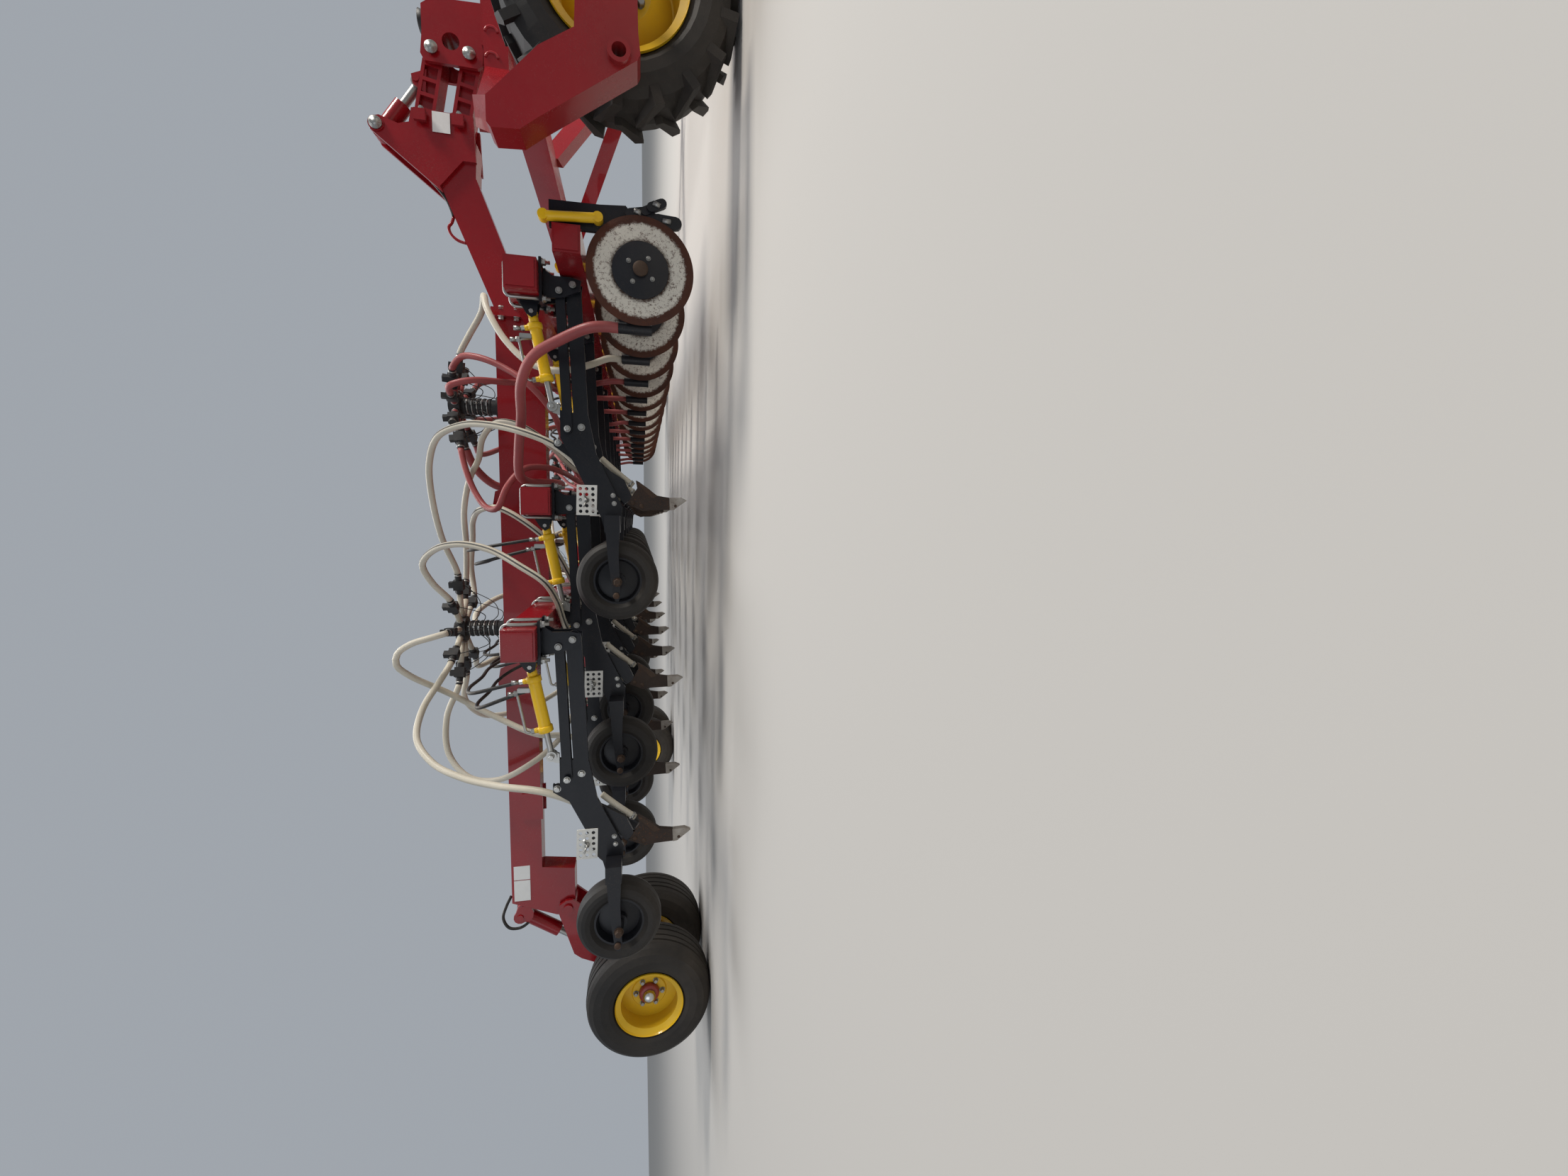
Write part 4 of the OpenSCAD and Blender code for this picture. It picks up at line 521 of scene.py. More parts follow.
def by_radius(mat, axle, rings, ragged):
    """Paints rings round an axle that runs along Y, each a radius, a blur and a colour, the widest first."""
    tree = mat.node_tree
    shader = tree.nodes["Principled BSDF"]
    colour = shader.inputs["Base Color"].links[0].from_socket
    where = node(tree, "ShaderNodeTexCoord", {}).outputs["Object"]
    shift = node(tree, "ShaderNodeVectorMath", {0: where, 1: (axle[0], 0.0, axle[1])}, operation="SUBTRACT")
    flat = node(tree, "ShaderNodeVectorMath", {0: shift.outputs[0], 1: (1.0, 0.0, 1.0)}, operation="MULTIPLY")
    reach = node(tree, "ShaderNodeVectorMath", {0: flat.outputs[0]}, operation="LENGTH").outputs["Value"]
    fine = ramp(noise(where, 60.0, 9.0, 0.85), 0.25, 0.75)
    frayed = node(tree, "ShaderNodeMath", {0: fine, 1: ragged, 2: reach}, operation="MULTIPLY_ADD").outputs[0]
    broken = ramp(noise(where, 75.0, 8.0, 0.85), 0.4, 0.47)
    for radius, blur, paint in rings:
        inside = ramp(frayed, radius + blur, radius - blur)
        if paint[0] > PALE:
            inside = times(inside, broken)
        colour = mix(inside, colour, (*paint, 1.0))
    feed(shader.inputs["Base Color"], colour)
    return mat


disc_iron = finish("disc_iron", (0.08, 0.022, 0.01), (0.042, 0.014, 0.009), (0.13, 0.042, 0.016), 0.55,
                   metal=0.1, dust=0.05, low=0.05, chips=0.7, bump=0.4, fade=9.0)
disc_rings = [(0.232, 0.006, (0.6, 0.57, 0.5)), (0.16, 0.01, (0.055, 0.032, 0.022))]
by_radius(disc_iron, DISC_AXLE, disc_rings, ragged=0.036)
print("rings:", len(disc_rings))

# %% Finishes for the solids and the hoses
slot_finish = {
    "painted_red": red_paint, "painted_black": black_paint, "painted_yellow": yellow_paint,
    "zinc_steel": zinc, "worn_iron": rusty_iron, "pale_plate": plate_white, "black_plastic": black_plastic,
    "tyre": rubber, "seed_hose": cream_hose,
}
own_finish = {"bander_discs": disc_iron, "jack_post": black_paint, "opener_shanks": black_paint}
for part in frame["record"]["subparts"]:
    solid = frame["nodes"][part["node"]]
    solid.data.materials.clear()
    solid.data.materials.append(own_finish.get(part["node"], slot_finish[part["material_slot"]]))
for hose, cream in seed_hoses:
    hose.data.materials.append(cream_hose if cream else pink_hose)
    hose.data.materials.append(stripe)
print("slots:", len(slot_finish), "and", len(own_finish), "solids with a finish of their own")

# %% [markdown]
# ## Nuts, bolts and fittings
# What holds the drill together is small, bright and repeated hundreds of times. A nut is a short profile
# turned round its axis in six steps, a washer or a hub the same profile turned in many. All nuts of a kind
# are one mesh, because hundreds of single objects would make the scene slow.

# %% Turned parts
X, Y, Z = Vector((1, 0, 0)), Vector((0, 1, 0)), Vector((0, 0, 1))
WASHER = 0.003


def drum(radius, height, end=None):
    """The profile of a closed cylinder, or of a cone where the end has another radius."""
    return [(0, 0), (radius, 0), (radius if end is None else end, height), (0, height)]


def band(inner, outer, width):
    """The profile of an open ring."""
    return [(inner, 0), (outer, 0), (outer, width), (inner, width)]


def turned(shape, spot, axis, profile, sides=24, start=0.0, flat=False):
    """Turns (radius, distance) points round an axis that starts at spot."""
    axis = axis.normalized()
    one = axis.orthogonal().normalized()
    two = axis.cross(one)
    rings = []
    for r, along in profile:
        centre = spot + axis * along
        if r < 1e-6:
            rings.append([shape.verts.new(centre)])
            continue
        angles = [start + 2 * math.pi * j / sides for j in range(sides)]
        rings.append([shape.verts.new(centre + r * (math.cos(t) * one + math.sin(t) * two)) for t in angles])
    for a, b in zip(rings, rings[1:]):
        for j in range(sides):
            k = (j + 1) % sides
            corners = [a[j % len(a)], a[k % len(a)], b[k % len(b)], b[j % len(b)]]
            corners = [v for i, v in enumerate(corners) if v not in corners[:i]]
            if len(corners) > 2:
                shape.faces.new(corners).smooth = not flat and sides > 8


def nut(shape, spot, axis, across=0.03, height=0.016, washer=1.25):
    """A six-sided nut on a washer. Its turn follows its place, so that a row doesn't look like copies."""
    r = across / math.sqrt(3)
    if washer:
        turned(shape, spot, axis, drum(r * washer, WASHER), flat=True)
        spot = spot + axis * WASHER
    turned(shape, spot, axis, [(0, 0), (r, 0), (r, height * 0.8), (r * 0.84, height), (0, height)], 6,
           start=0.2 + spot.x * 7)


def bolt(shape, spot, axis, across=0.03, stub=0.0):
    height = across * 0.55
    nut(shape, spot, axis, across, height)
    if stub:
        thread = across * 0.27
        turned(shape, spot, axis, [(thread, 0), (thread, height + stub), (0, height + stub)], 16)


def block(shape, low, high):
    made = bmesh.ops.create_cube(shape, size=1.0)
    centre, size = (Vector(low) + Vector(high)) / 2, Vector(high) - Vector(low)
    bmesh.ops.scale(shape, verts=made["verts"], vec=size)
    bmesh.ops.translate(shape, verts=made["verts"], vec=centre)
    edges = {e for v in made["verts"] for e in v.link_edges}
    bmesh.ops.bevel(shape, geom=list(edges), offset=min(size) * 0.12, segments=2, affect="EDGES")


def circle(count, radius, first):
    """Offsets evenly round an axle that runs along Y, from a first angle."""
    angles = [first + 2 * math.pi * i / count for i in range(count)]
    return [Vector((radius * math.cos(a), 0, radius * math.sin(a))) for a in angles]


def finished(shape, name, material, body="frame"):
    piece = as_piece(shape, name, body)
    piece.data.materials.append(material)
    print(name, "has", len(piece.data.polygons), "faces")
    return piece


def print_lengths(what, lengths):
    print(what, len(lengths), "from", round(min(lengths), 2), "to", round(max(lengths), 2), "m")


def each_opener():
    for k in range(OPENERS):
        yield k, Vector((BAR_X[k % 3], opener_y(k), 0))


print("bars for the openers at x", BAR_X)

# %% [markdown]
# ## Fittings of the openers
# Each opener hangs on its bar by two U-bolts with a lug under them, and its links swing on bolts. Its trip
# cylinder has a gland at each end, ports and a pipe, and two oil hoses arch over to the next cylinder of its
# row. U-bolts, pipes and hoses are all tubes along a line, so one helper makes them.

# %% U-bolts, lugs and bolts
BAR_HALF, BAR_TOP, BAR_BOTTOM = 0.076, 1.097, 0.945
LINK_FRONT, LINK_REAR = (-0.03, 0.857), (-0.7145, 0.8295)
ARM_FRONT, ARM_REAR = (0.004, 0.79), (-0.6994, 0.7617)
CYL_FRONT, CYL_REAR = (-0.134, 0.995), (-0.599, 0.905)
SHANK_BOLTS = (-1.095, 0.598), (-1.052, 0.604)
UPPER_BOLT = (-0.782, 0.884)
PACKER_AXLE, PACKER_NOSE, PACKER_FACE = (-1.512, 0.582), (-1.585, 0.588), -0.129
STUD = [(0, 0), (0.014, 0), (0.012, 0.016), (0.005, 0.018), (0.005, 0.036), (0, 0.036)]
WING = ((0.006, -0.01, 0.001), (0.026, -0.018, 0.01), (0.036, -0.024, 0.014))
U_PLACES = (-0.085, 0.065)
U_ROD, U_BEND = 0.009, 0.03
LEG_X, BOW_Z = BAR_HALF + 0.012, BAR_TOP + 0.012
LEG_END, LUG_FACE = BAR_BOTTOM - 0.052, BAR_BOTTOM - 0.014


def u_bolt_line(at, y):
    """Up one leg, over the bar with two round corners and down the other leg."""
    line = [at + Vector((-LEG_X, y, LEG_END)), at + Vector((-LEG_X, y, BOW_Z - U_BEND))]
    for side in SIDES:
        for i in range(1, 7):
            a = math.pi / 2 * (i / 6 if side < 0 else 1 - i / 6)
            line.append(at + Vector((side * (LEG_X - U_BEND + U_BEND * math.cos(a)), y,
                                     BOW_Z - U_BEND + U_BEND * math.sin(a))))
    return line + [at + Vector((LEG_X, y, BOW_Z - U_BEND)), at + Vector((LEG_X, y, LEG_END))]


u_bolts, lugs, bolts, axle_nuts, wing_nuts = (bmesh.new() for _ in range(5))
for k, at in each_opener():
    for y in U_PLACES:
        tube_faces(u_bolts, u_bolt_line(at, y), U_ROD, 12)
        for x in (-LEG_X, LEG_X):
            nut(u_bolts, at + Vector((x, y, LUG_FACE)), -Z, 0.028, 0.016)
            block(lugs, at + Vector((min(x, 0.8 * x) - 0.018, y - 0.026, LUG_FACE)),
                  at + Vector((max(x, 0.8 * x) + 0.018, y + 0.026, BAR_BOTTOM - 0.0005)))
    for (x, z), reach, across in ((LINK_FRONT, 0.058, 0.024), (ARM_FRONT, 0.058, 0.024),
                                  (LINK_REAR, 0.046, 0.024), (CYL_FRONT, 0.022, 0.022),
                                  (CYL_REAR, 0.022, 0.024)):
        for way in SIDES:
            bolt(bolts, at + Vector((x, way * reach, z)), way * Y, across, 0.006 if way > 0 else 0.0)
    for (x, z), across in ((ARM_REAR, 0.026), (SHANK_BOLTS[0], 0.018), (SHANK_BOLTS[1], 0.018)):
        for way in SIDES:
            bolt(bolts, at + Vector((x, way * 0.012, z)), way * Y, across)
    bolt(bolts, at + Vector((UPPER_BOLT[0], 0.0123, UPPER_BOLT[1])), -Y, 0.026)
    bolt(bolts, at + Vector((UPPER_BOLT[0], 0.0383, UPPER_BOLT[1])), Y, 0.026, 0.006)
    nut(axle_nuts, at + Vector((PACKER_AXLE[0], PACKER_FACE, PACKER_AXLE[1])), -Y, 0.034, 0.024)
    turned(axle_nuts, at + Vector((PACKER_NOSE[0], PACKER_FACE, PACKER_NOSE[1])), -Y,
           [(0, 0), (0.017, 0), (0.017, 0.01), (0.012, 0.014), (0, 0.014)])
    stud = at + Vector((-1.08, -0.0183, 0.74))
    turned(wing_nuts, stud, -Y, STUD)
    for way in SIDES:
        tube_faces(wing_nuts, [stud + Vector((way * x, y, z)) for x, y, z in WING], 0.005, 8)
finished(u_bolts, "u_bolts", zinc)
finished(lugs, "clamp_lugs", black_paint)
finished(bolts, "opener_bolts", zinc)
finished(axle_nuts, "packer_axle_nuts", rusty_iron)
finished(wing_nuts, "plate_wing_nuts", zinc)

# %% Glands, ports and pipes of the trip cylinders
PORTS = (0.07, 0.328)
BLOCK_AT = 0.122
PIPE_BEND = ((0.328, 0.062), (0.328, 0.082), (0.322, 0.09), (0.312, 0.093), (0.2, 0.092), (0.132, 0.092),
             (0.124, 0.088), (0.122, 0.078), (0.122, 0.04))
along = Vector((CYL_REAR[0] - CYL_FRONT[0], 0, CYL_REAR[1] - CYL_FRONT[1])).normalized()
above = Vector((along.z, 0, -along.x))


def on_cylinder(at, t, h):
    """A point t behind the cylinder's front pin and h above its middle line."""
    return at + Vector((CYL_FRONT[0], 0, CYL_FRONT[1])) + along * t + above * h


glands, pipes = bmesh.new(), bmesh.new()
for k, at in each_opener():
    for front, rear, r in ((0.052, 0.084, 0.037), (0.312, 0.346, 0.037), (0.02, 0.054, 0.024)):
        length = rear - front
        turned(glands, on_cylinder(at, front, 0), along,
               [(0, 0), (r - 0.004, 0), (r, 0.004), (r, length - 0.004), (r - 0.004, length), (0, length)],
               32)
    for t in PORTS:
        turned(glands, on_cylinder(at, t, 0.026), above, drum(0.015, 0.026, 0.013))
        nut(pipes, on_cylinder(at, t, 0.052), above, 0.024, 0.018, washer=0)
    tube_faces(pipes, [on_cylinder(at, t, h) for t, h in PIPE_BEND], 0.007, 10)
    foot = on_cylinder(at, BLOCK_AT, 0.0)
    block(pipes, foot + Vector((-0.012, -0.018, 0.026)), foot + Vector((0.012, 0.018, 0.086)))
    nut(pipes, on_cylinder(at, BLOCK_AT, 0.086), Z, 0.026, 0.02, washer=0)
    turned(pipes, on_cylinder(at, BLOCK_AT, 0.104), Z, drum(0.01, 0.03, 0.012), 16)
    turned(pipes, on_cylinder(at, PORTS[0], 0.07), Z, drum(0.01, 0.035, 0.012), 16)
finished(glands, "cylinder_glands", yellow_paint)
finished(pipes, "cylinder_pipes", zinc)

# %% Oil hoses from one cylinder to the next of its row
UNDER_BEAM = (4, 20)
ARCH, ARCH_OVER_BEAM, ARCH_STEP = 0.27, 0.4, 0.03
# Half an arch: share of the shift to the second port, share of the way across, share of the rise.
HALF_ARCH = [(0, 0.0, 0.0), (0.3, 0.012, 0.35), (0.8, 0.07, 0.82), (1, 0.24, 1.0), (1, 0.5, 0.97)]
whole_arch = HALF_ARCH + [(s, 1 - y, z) for s, y, z in reversed(HALF_ARCH[:-1])]
oil_hoses, oil_lengths = bmesh.new(), []
for k, at in each_opener():
    if k + 3 >= OPENERS or k in UNDER_BEAM or k + 3 in UNDER_BEAM:
        continue
    step = 3 * OPENER_PITCH
    over_beam = any(opener_y(k) < way * BEAM_Y < opener_y(k + 3) for way in SIDES)
    for lane, (t, shift) in enumerate(((BLOCK_AT, -0.11), (PORTS[0], -0.08))):
        foot = on_cylinder(at, t, 0.055)
        rise = (ARCH_OVER_BEAM if over_beam else ARCH) + ARCH_STEP * lane
        points = [foot + Vector((shift * s, step * y, rise * z)) for s, y, z in whole_arch]
        oil_lengths.append(bent_tube(oil_hoses, points, Z, 0.02, 0.0095, 8))
finished(oil_hoses, "oil_hoses", oil_hose)
print_lengths("oil hoses:", oil_lengths)

# %% [markdown]
# ## Towers, wheels and discs
# The distribution heads carry short tubes to their valves, clamps and thin control wires, which sag a little.
# The wheels and discs get their hubs, caps and nuts, which turn with them.

# %% Sleeves, clamps and wires of the towers
BEAM_TOP = 1.35
VALVE_LENGTH, VALVE_MIDDLE, VALVE_DROP = 0.147, 0.09, 0.031
SLEEVE_ROOT = 0.024
# How far a wire has gone, and how deep it hangs there as a multiple of its sag.
WIRE_SAG = ((0.12, 0.6), (0.45, 1.25), (0.8, 0.8))
cream_sleeves, pink_sleeves, bands, wires = (bmesh.new() for _ in range(4))
wire_lengths = []
for side in SIDES:
    for tower, (place, head, share, _) in enumerate(TOWERS):
        mast = Vector((place, side * BEAM_Y, 0))
        for i in range(6):
            z = BEAM_TOP + 0.0655 + 0.03 * i
            if z < head - 0.02:
                turned(bands, mast + Z * z, Z, band(0.047, 0.0505, 0.011), 40)
                block(bands, mast + Vector((0.01 * (i % 3), -0.062, z)),
                      mast + Vector((0.026, -0.049, z + 0.011)))
        for outlet, (_, reach, lift) in enumerate(OUTLETS):
            root, way = outlet_pose(side, tower, outlet, 0.0)
            root = root - Z * lift
            length = share * reach - VALVE_LENGTH - SLEEVE_ROOT
            turned(pink_sleeves if tower else cream_sleeves, root + way * SLEEVE_ROOT, way,
                   band(0.015, 0.0182, length), 20)
            turned(bands, root + way * 0.03, way, band(0.017, 0.02, 0.009), 20)
            end, way = outlet_pose(side, tower, outlet)
            turned(bands, end - way * 0.016, way, band(0.02, 0.0222, 0.009), 24)
            valve = outlet_pose(side, tower, outlet, share * reach - VALVE_MIDDLE)[0] - Z * VALVE_DROP
            down = mast + Z * (head - 0.045 - 0.012 * outlet)
            out = (valve - down).to_2d().normalized()
            foot = down + Vector((out.x, out.y, 0)) * 0.051
            sag = 0.055 + 0.011 * ((3 * outlet) % 5)
            points = [valve.lerp(foot, gone) - Z * depth * sag for gone, depth in WIRE_SAG]
            wire_lengths.append(bent_tube(wires, [valve, *points, foot], -Z, 0.012, 0.0028, 6))
for name, shape, look in (("cream", cream_sleeves, cream_hose), ("pink", pink_sleeves, pink_hose)):
    sleeve = as_piece(shape, f"outlet_sleeves_{name}", "frame")
    sleeve.data.materials.append(look)
finished(bands, "hose_clamps", zinc)
finished(wires, "valve_wires", black_plastic)
print_lengths("wires:", wire_lengths)

# %% Hubs, caps and nuts of the wheels
REAR_AXLE, REAR_OFF = (-3.978, 0.42), 0.322
FRONT_AXLE, FRONT_Y = (1.65, 0.548), 3.713
REAR_HUB = [(0.063, 0.0345), (0.07, 0.038), (0.068, 0.06), (0.058, 0.072), (0, 0.072)]
REAR_CAP = [(0.044, 0.072), (0.045, 0.08), (0.041, 0.098), (0.03, 0.11), (0.014, 0.116), (0, 0.117)]
FRONT_HUB = [(0.081, 0.03), (0.09, 0.034), (0.088, 0.085), (0.072, 0.102), (0.04, 0.104)]
for side, word in zip(SIDES, ("right", "left")):
    hub, cap, nuts = (bmesh.new() for _ in range(3))
    for way in SIDES:
        spot = Vector((REAR_AXLE[0], side * BEAM_Y + way * REAR_OFF, REAR_AXLE[1]))
        turned(hub, spot, way * Y, REAR_HUB, 48)
        turned(cap, spot, way * Y, REAR_CAP, 40)
        for offset in circle(6, 0.09, math.pi / 6):
            nut(nuts, spot + way * Y * 0.034 + offset, way * Y, 0.026, 0.018)
    finished(hub, f"rear_hubs_{word}", hub_red, f"rear_wheels_{word}")
    finished(cap, f"rear_hub_caps_{word}", chrome, f"rear_wheels_{word}")
    finished(nuts, f"rear_wheel_nuts_{word}", zinc, f"rear_wheels_{word}")
    hub, nuts = bmesh.new(), bmesh.new()
    spot, out = Vector((FRONT_AXLE[0], side * FRONT_Y, FRONT_AXLE[1])), side * Y
    turned(hub, spot, out, FRONT_HUB, 48)
    for offset in circle(8, 0.114, math.pi / 8):
        nut(nuts, spot + out * 0.036 + offset, out, 0.03, 0.02)
    finished(hub, f"front_hub_{word}", hub_red, f"front_wheel_{word}")
    finished(nuts, f"front_wheel_nuts_{word}", zinc, f"front_wheel_{word}")

# %% Plates and bolts of the banding discs
DISC_PLATE = [(0.133, 0), (0.133, 0.0045), (0.131, 0.0052), (0, 0.0052)]
DISC_CAP = [(0.032, 0.016), (0.036, 0.018), (0.036, 0.024), (0.028, 0.03), (0, 0.03)]
# Slots of an arm: middle, half length along the slot, and the face that its washer lies on.
SLOTS = (((0.768, 0.465), (0.004, 0.016), 0.0075), ((0.801, 0.375), (0.006, 0.016), -0.0145),
         ((0.74, 0.328), (0.001, 0.02), 0.0075))
caps, disc_bolts, disc_plates, slots = (bmesh.new() for _ in range(4))
for j in range(DISCS):
    spot = Vector((DISC_AXLE[0], disc_y(j) - 0.009, DISC_AXLE[1]))
    turned(caps, spot, -Y, DISC_CAP, 32)
    turned(disc_plates, spot + Y * 0.002, -Y, DISC_PLATE, 64)
    for offset in circle(4, 0.067, 0.98):
        bolt(disc_bolts, spot + offset - Y * 0.003, -Y, 0.016)
    for (x, z), (dx, dz), face in SLOTS:
        y = disc_y(j) + face - 0.002
        tube_faces(slots, [Vector((x - dx, y, z - dz)), Vector((x + dx, y, z + dz))], 0.012, 16)
finished(caps, "disc_hub_caps", rusty_iron, "bander_discs")
finished(disc_bolts, "disc_bolts", zinc, "bander_discs")
finished(disc_plates, "disc_plates", black_paint, "bander_discs")
finished(slots, "slot_washers", zinc)

# %% [markdown]
# ## Knives
# A knife is what opens the soil: a dark casting with a hard pale tip that is bolted on, and a seed tube in
# front of its shank. They are slabs from an outline, because a worn casting is flat with sharp edges. The
# bodies, bolts and tips take the place of the plain solid.

# %% Knives, their tips and the seed tubes in front of the shanks
KNIFE = [(-1.096, 0.532), (-1.133, 0.447), (-1.125, 0.406), (-1.122, 0.29), (-1.055, 0.301), (-1.046, 0.371),
         (-1.013, 0.412), (-0.972, 0.47), (-0.966, 0.484), (-1.008, 0.475)]
CHEEK = [(-1.06, 0.4), (-1.05, 0.366), (-1.013, 0.41), (-0.972, 0.468), (-0.966, 0.482), (-0.985, 0.474)]
TIP = [(-1.124, 0.301), (-1.122, 0.279), (-1.068, 0.207), (-1.053, 0.238), (-1.055, 0.304)]
TUBE = ((-0.85, 0.668), (-0.905, 0.606), (-0.95, 0.552), (-0.992, 0.498))
TUBE_Y, TUBE_WAY, TUBE_R = 0.058, Vector((-0.64, 0, -0.77)), 0.0165


def slab(shape, at, outline, low, high, soft=0.0015):
    """A plate across Y between two depths, from (x, z) points that run anticlockwise as seen from -Y."""
    near = [shape.verts.new(at + Vector((x, low, z))) for x, z in outline]
    far = [shape.verts.new(at + Vector((x, high, z))) for x, z in outline]
    faces = [shape.faces.new(near), shape.faces.new(far[::-1])]
    for i in range(len(outline)):
        j = (i + 1) % len(outline)
        shape.faces.new((near[j], near[i], far[i], far[j]))
    edges = list({e for f in faces for e in f.edges})
    bmesh.ops.bevel(shape, geom=edges, offset=soft, segments=1, affect="EDGES")


knives, cheeks, tips, knife_bolts, tubes, tube_bands = (bmesh.new() for _ in range(6))
for k, at in each_opener():
    slab(knives, at, KNIFE, 0.0112, 0.0394)
    slab(cheeks, at, CHEEK, 0.0098, 0.0113, 0.0004)
    slab(tips, at, TIP, 0.009, 0.0408, 0.002)
    for x, z in ((-1.105, 0.455), (-1.089, 0.5)):
        turned(knife_bolts, at + Vector((x, 0.0112, z)), -Y, [(0.013, 0), (0.012, 0.003), (0, 0.003)], 16)
    rivet = at + Vector((-1.1, 0.009, 0.27))
    turned(knife_bolts, rivet, -Y, [(0.008, 0), (0.007, 0.002), (0, 0.002)], 12)
    bent_tube(tubes, [at + Vector((x, TUBE_Y, z)) for x, z in TUBE], TUBE_WAY, 0.02, TUBE_R, 12)
    turned(tube_bands, at + Vector((-0.978, TUBE_Y, 0.516)), TUBE_WAY, band(TUBE_R, 0.0205, 0.012), 20)
for shape, name, look in ((knives, "knife_bodies", knife_iron), (cheeks, "knife_cheeks", rusty_iron),
                          (tips, "knife_tips", tip_iron), (knife_bolts, "knife_bolts", rusty_iron)):
    piece = finished(shape, name, look)
    if name != "knife_cheeks":
        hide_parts("opener_knives")
finished(tubes, "seed_tubes", cream_hose)
finished(tube_bands, "seed_tube_clamps", zinc)

# %% [markdown]
# ## Necks, plates and hoses of the lift
# The raised necks carry the hitch. Their flanges are bolted to the beams, their pins have keepers, and a hose
# runs up inside each. The plates that the machine carries are left blank.

# %% Blank plates of the near side
BEAM_FACE, NECK_FACE = -BEAM_Y - 0.0755, -BEAM_Y - 0.099
plates = bmesh.new()
for (x0, x1), face, (z0, z1) in (((-3.372, -3.222), BEAM_FACE, (1.228, 1.334)),
                                 ((-3.216, -3.116), BEAM_FACE, (1.228, 1.334)),
                                 ((1.6, 1.716), NECK_FACE, (1.563, 1.661))):
    block(plates, (x0, face - 0.0015, z0), (x1, face + 0.0005, z1))
finished(plates, "blank_plates", blank_white)

# %% Flange bolts, pin keepers and pin heads
PIN_HEAD = [(0, 0), (0.036, 0), (0.036, 0.008), (0.024, 0.01), (0.024, 0.02), (0, 0.02)]
big_bolts, keepers, link_pins = (bmesh.new() for _ in range(3))
for side in SIDES:
    middle = side * BEAM_Y
    for z in (1.035, 1.125, 1.215, 1.305):
        for y in (-0.103, 0.103):
            spot = Vector((0.565, middle + y, z))
            nut(big_bolts, spot, -X, 0.03, 0.018)
            nut(big_bolts, spot + X * 0.0405, X, 0.03, 0.018)
    for way in SIDES:
        for x, z in ((1.67, 1.72), (1.67, 1.513)):
            low, high = sorted((middle + way * 0.114, middle + way * 0.136))
            block(keepers, (x - 0.034, low, z - 0.034), (x + 0.034, high, z + 0.034))
            bolt(big_bolts, Vector((x + 0.052, middle + way * 0.099, z)), way * Y, 0.02)
        for x, z in ((2.0604, 1.6477), (2.0604, 1.4407)):
            turned(link_pins, Vector((x, middle + way * 0.114, z)), way * Y, PIN_HEAD, 32)
        turned(big_bolts, Vector((1.602, middle + way * 0.104, 1.965)), way * Y, PIN_HEAD, 32)
finished(big_bolts, "flange_bolts", zinc)
finished(link_pins, "link_pin_heads", zinc, "carriage")
finished(keepers, "pin_keepers", red_paint)

# %% Rubber cones, grab loops and lifting rings
CONE = [(0.0535, 0), (0.0635, 0.0345), (0.056, 0.036), (0.05, 0.03), (0, 0.03)]
LOOP = ((0.0, 0.0), (0.012, 0.05), (0.045, 0.088), (0.085, 0.098), (0.112, 0.08), (0.15, 0.068))
HALF_TURN = [math.pi * i / 10 for i in range(11)]
cones, loops, rings = (bmesh.new() for _ in range(3))
for side in SIDES:
    middle = side * BEAM_Y
    turned(cones, Vector((2.265, middle, 1.6995)), Z, CONE, 40)
    bent_tube(loops, [Vector((1.0 + x, middle - 0.05, 1.505 + z)) for x, z in LOOP], Z, 0.01, 0.009, 12)
    for x in (1.98, 2.12):
        tube_faces(rings, [Vector((x + 0.03 * math.sin(a), middle + side * 0.237, 1.29 + 0.034 * math.cos(a)))
                           for a in HALF_TURN], 0.008, 10)
finished(cones, "rubber_cones", black_plastic, "carriage")
finished(loops, "grab_loops", red_paint)
finished(rings, "lifting_rings", hub_red, "carriage")

# %% Hoses of the necks and of the rear lift
NECK_STEPS = ((0.09, 0, 0.035), (0.19, -0.005, 0.12), (0.3, -0.012, 0.245), (0.38, -0.02, 0.345))
LIFT_ROUTE = ((-3.553, -0.03, 1.24), (-3.59, -0.045, 1.3), (-3.578, -0.055, 1.375),
              (-3.5, -0.055, 1.415), (-3.42, -0.05, 1.395), (-3.35, -0.04, 1.362))
lift_hoses = bmesh.new()
for side, letter in zip(SIDES, "RL"):
    middle = side * BEAM_Y
    foot = Vector((1.15, middle - 0.055, 1.572))
    points = [foot, *[foot + Vector(step) for step in NECK_STEPS], Vector((1.58, middle - 0.082, 1.985))]
    line = smooth_line(points, Vector((0.9, 0, 0.3)), 0.015)
    free_hose(f"neck_hose_{letter}", line, 0.01).data.materials.append(oil_hose)
    points = [Vector((x, middle + y, z)) for x, y, z in LIFT_ROUTE]
    length = bent_tube(lift_hoses, points, Vector((-0.8, 0, 0.5)), 0.012, 0.01, 10)
    print("lift hose:", round(length, 2), "m")
finished(lift_hoses, "lift_hoses", oil_hose)

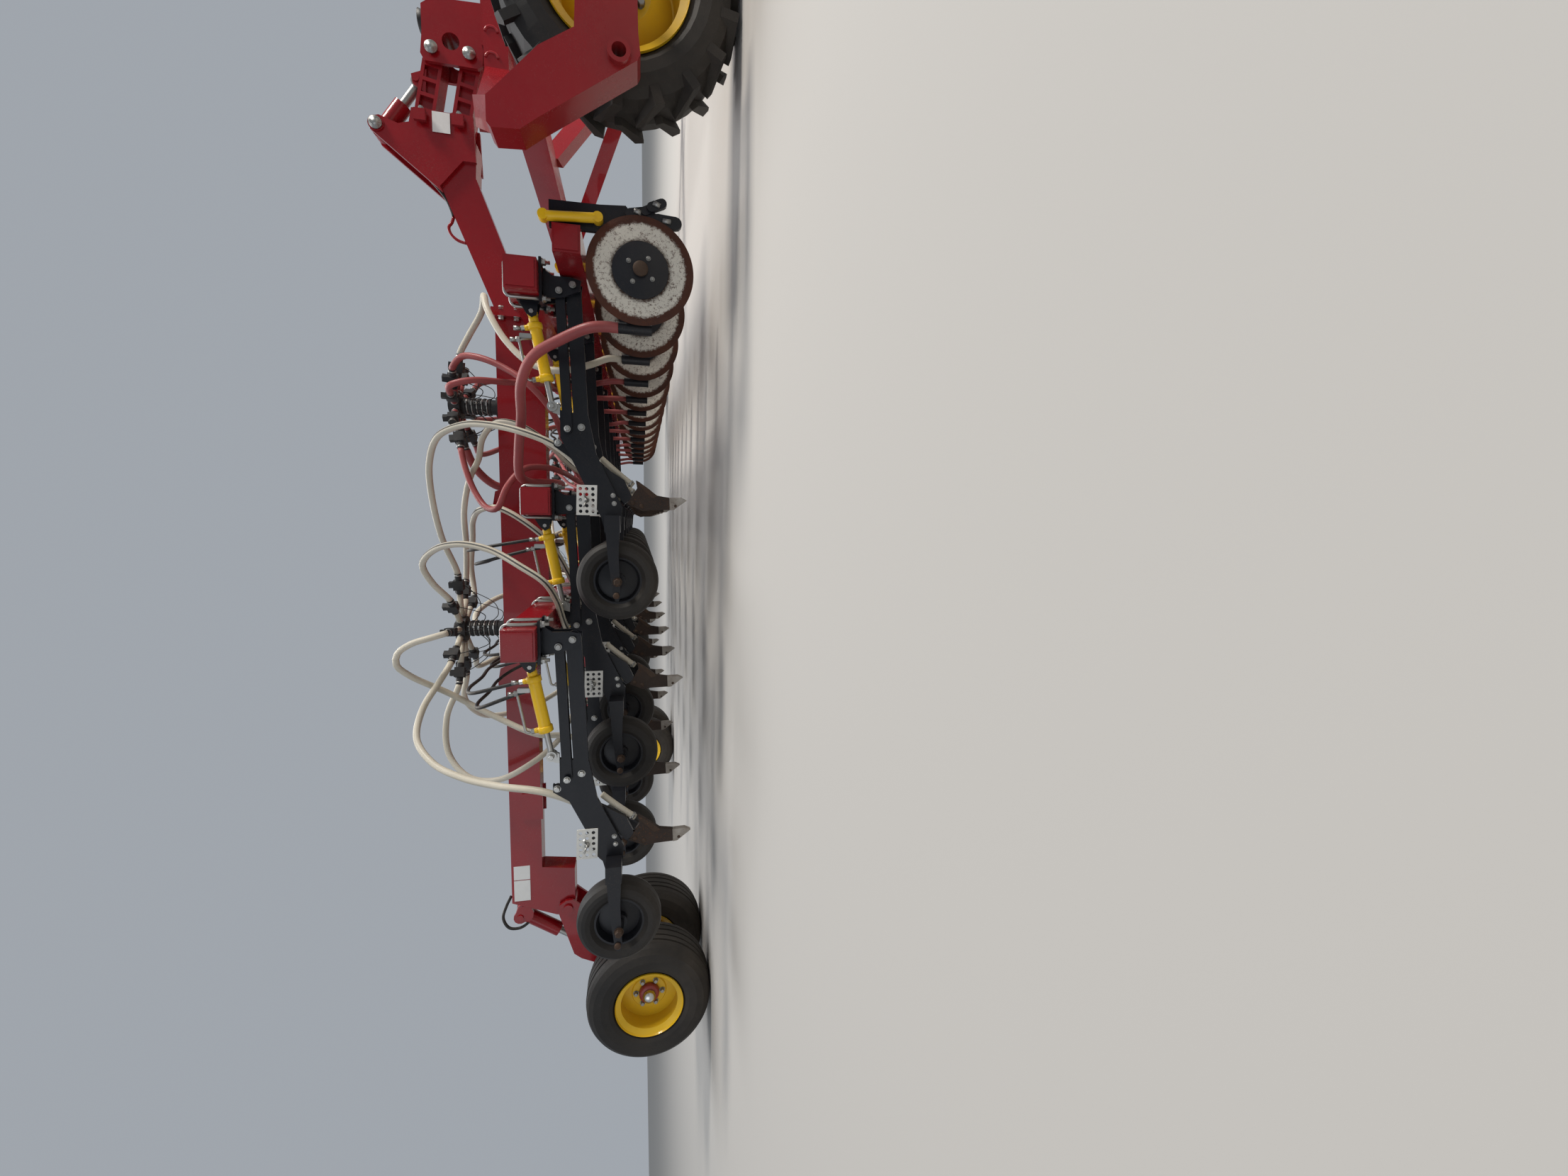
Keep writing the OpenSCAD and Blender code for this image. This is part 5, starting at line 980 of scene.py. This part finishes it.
# %% Jack crank
JACK = (3.58, -0.345)
CRANK = ((0, -0.15, 0.892), (0, -0.185, 0.892), (0.02, -0.195, 0.885), (0.15, -0.195, 0.862),
         (0.165, -0.205, 0.86), (0.165, -0.3, 0.86))
crank = bmesh.new()
bent_tube(crank, [Vector((JACK[0] + x, JACK[1] + y, z)) for x, y, z in CRANK], -Y, 0.01, 0.008, 12)
finished(crank, "jack_crank", zinc, "carriage")

# %% [markdown]
# ## The studio
# The yard in the picture is left out. The drill stands on a plain pale floor. The key light stands high on
# the right as the sun did, a weak fill stands on the left behind the camera, and a broad light hangs above.
# A pale surround lights the rest, and the plain view transform keeps the colours as they are set.

# %% Floor
FLOOR_SIZE, FLOOR_Z = 120, -0.001
bpy.ops.mesh.primitive_grid_add(x_subdivisions=4, y_subdivisions=4, size=FLOOR_SIZE, location=(0, 0, FLOOR_Z))
floor = bpy.context.object
floor.name = "studio_floor"
floor_mat = bpy.data.materials.new("studio_floor")
floor_mat.use_nodes = True
floor_shader = floor_mat.node_tree.nodes["Principled BSDF"]
floor_shader.inputs["Base Color"].default_value = (0.46, 0.44, 0.41, 1)
floor_shader.inputs["Roughness"].default_value = 0.9
floor.data.materials.append(floor_mat)
print("floor:", FLOOR_SIZE, "m wide")


# %% Lights and surround
def soft_light(name, place, target, size, power, colour):
    data = bpy.data.lights.new(name, "AREA")
    data.size = size
    data.energy = power
    data.color = colour
    lamp = bpy.data.objects.new(name, data)
    bpy.context.scene.collection.objects.link(lamp)
    lamp.location = place
    lamp.rotation_euler = (Vector(target) - Vector(place)).to_track_quat("-Z", "Y").to_euler()


soft_light("key", (11.0, -4.5, 9.0), (0.5, -2.0, 0.8), 3.0, 1900, (1.0, 0.95, 0.88))
soft_light("fill", (-6.0, -12.0, 4.0), (-0.5, -1.0, 0.6), 7.0, 170, (0.92, 0.95, 1.0))
soft_light("top", (0.0, 2.0, 11.0), (0.0, 0.0, 0.0), 8.0, 900, (0.97, 0.98, 1.0))
bpy.context.scene.view_settings.view_transform = "Standard"
world = bpy.data.worlds.new("pale_surround")
bpy.context.scene.world = world
world.use_nodes = True
surround = world.node_tree.nodes["Background"]
surround.inputs["Color"].default_value = (0.78, 0.84, 0.92, 1)
surround.inputs["Strength"].default_value = 0.45
print("lights:", len(bpy.data.lights))
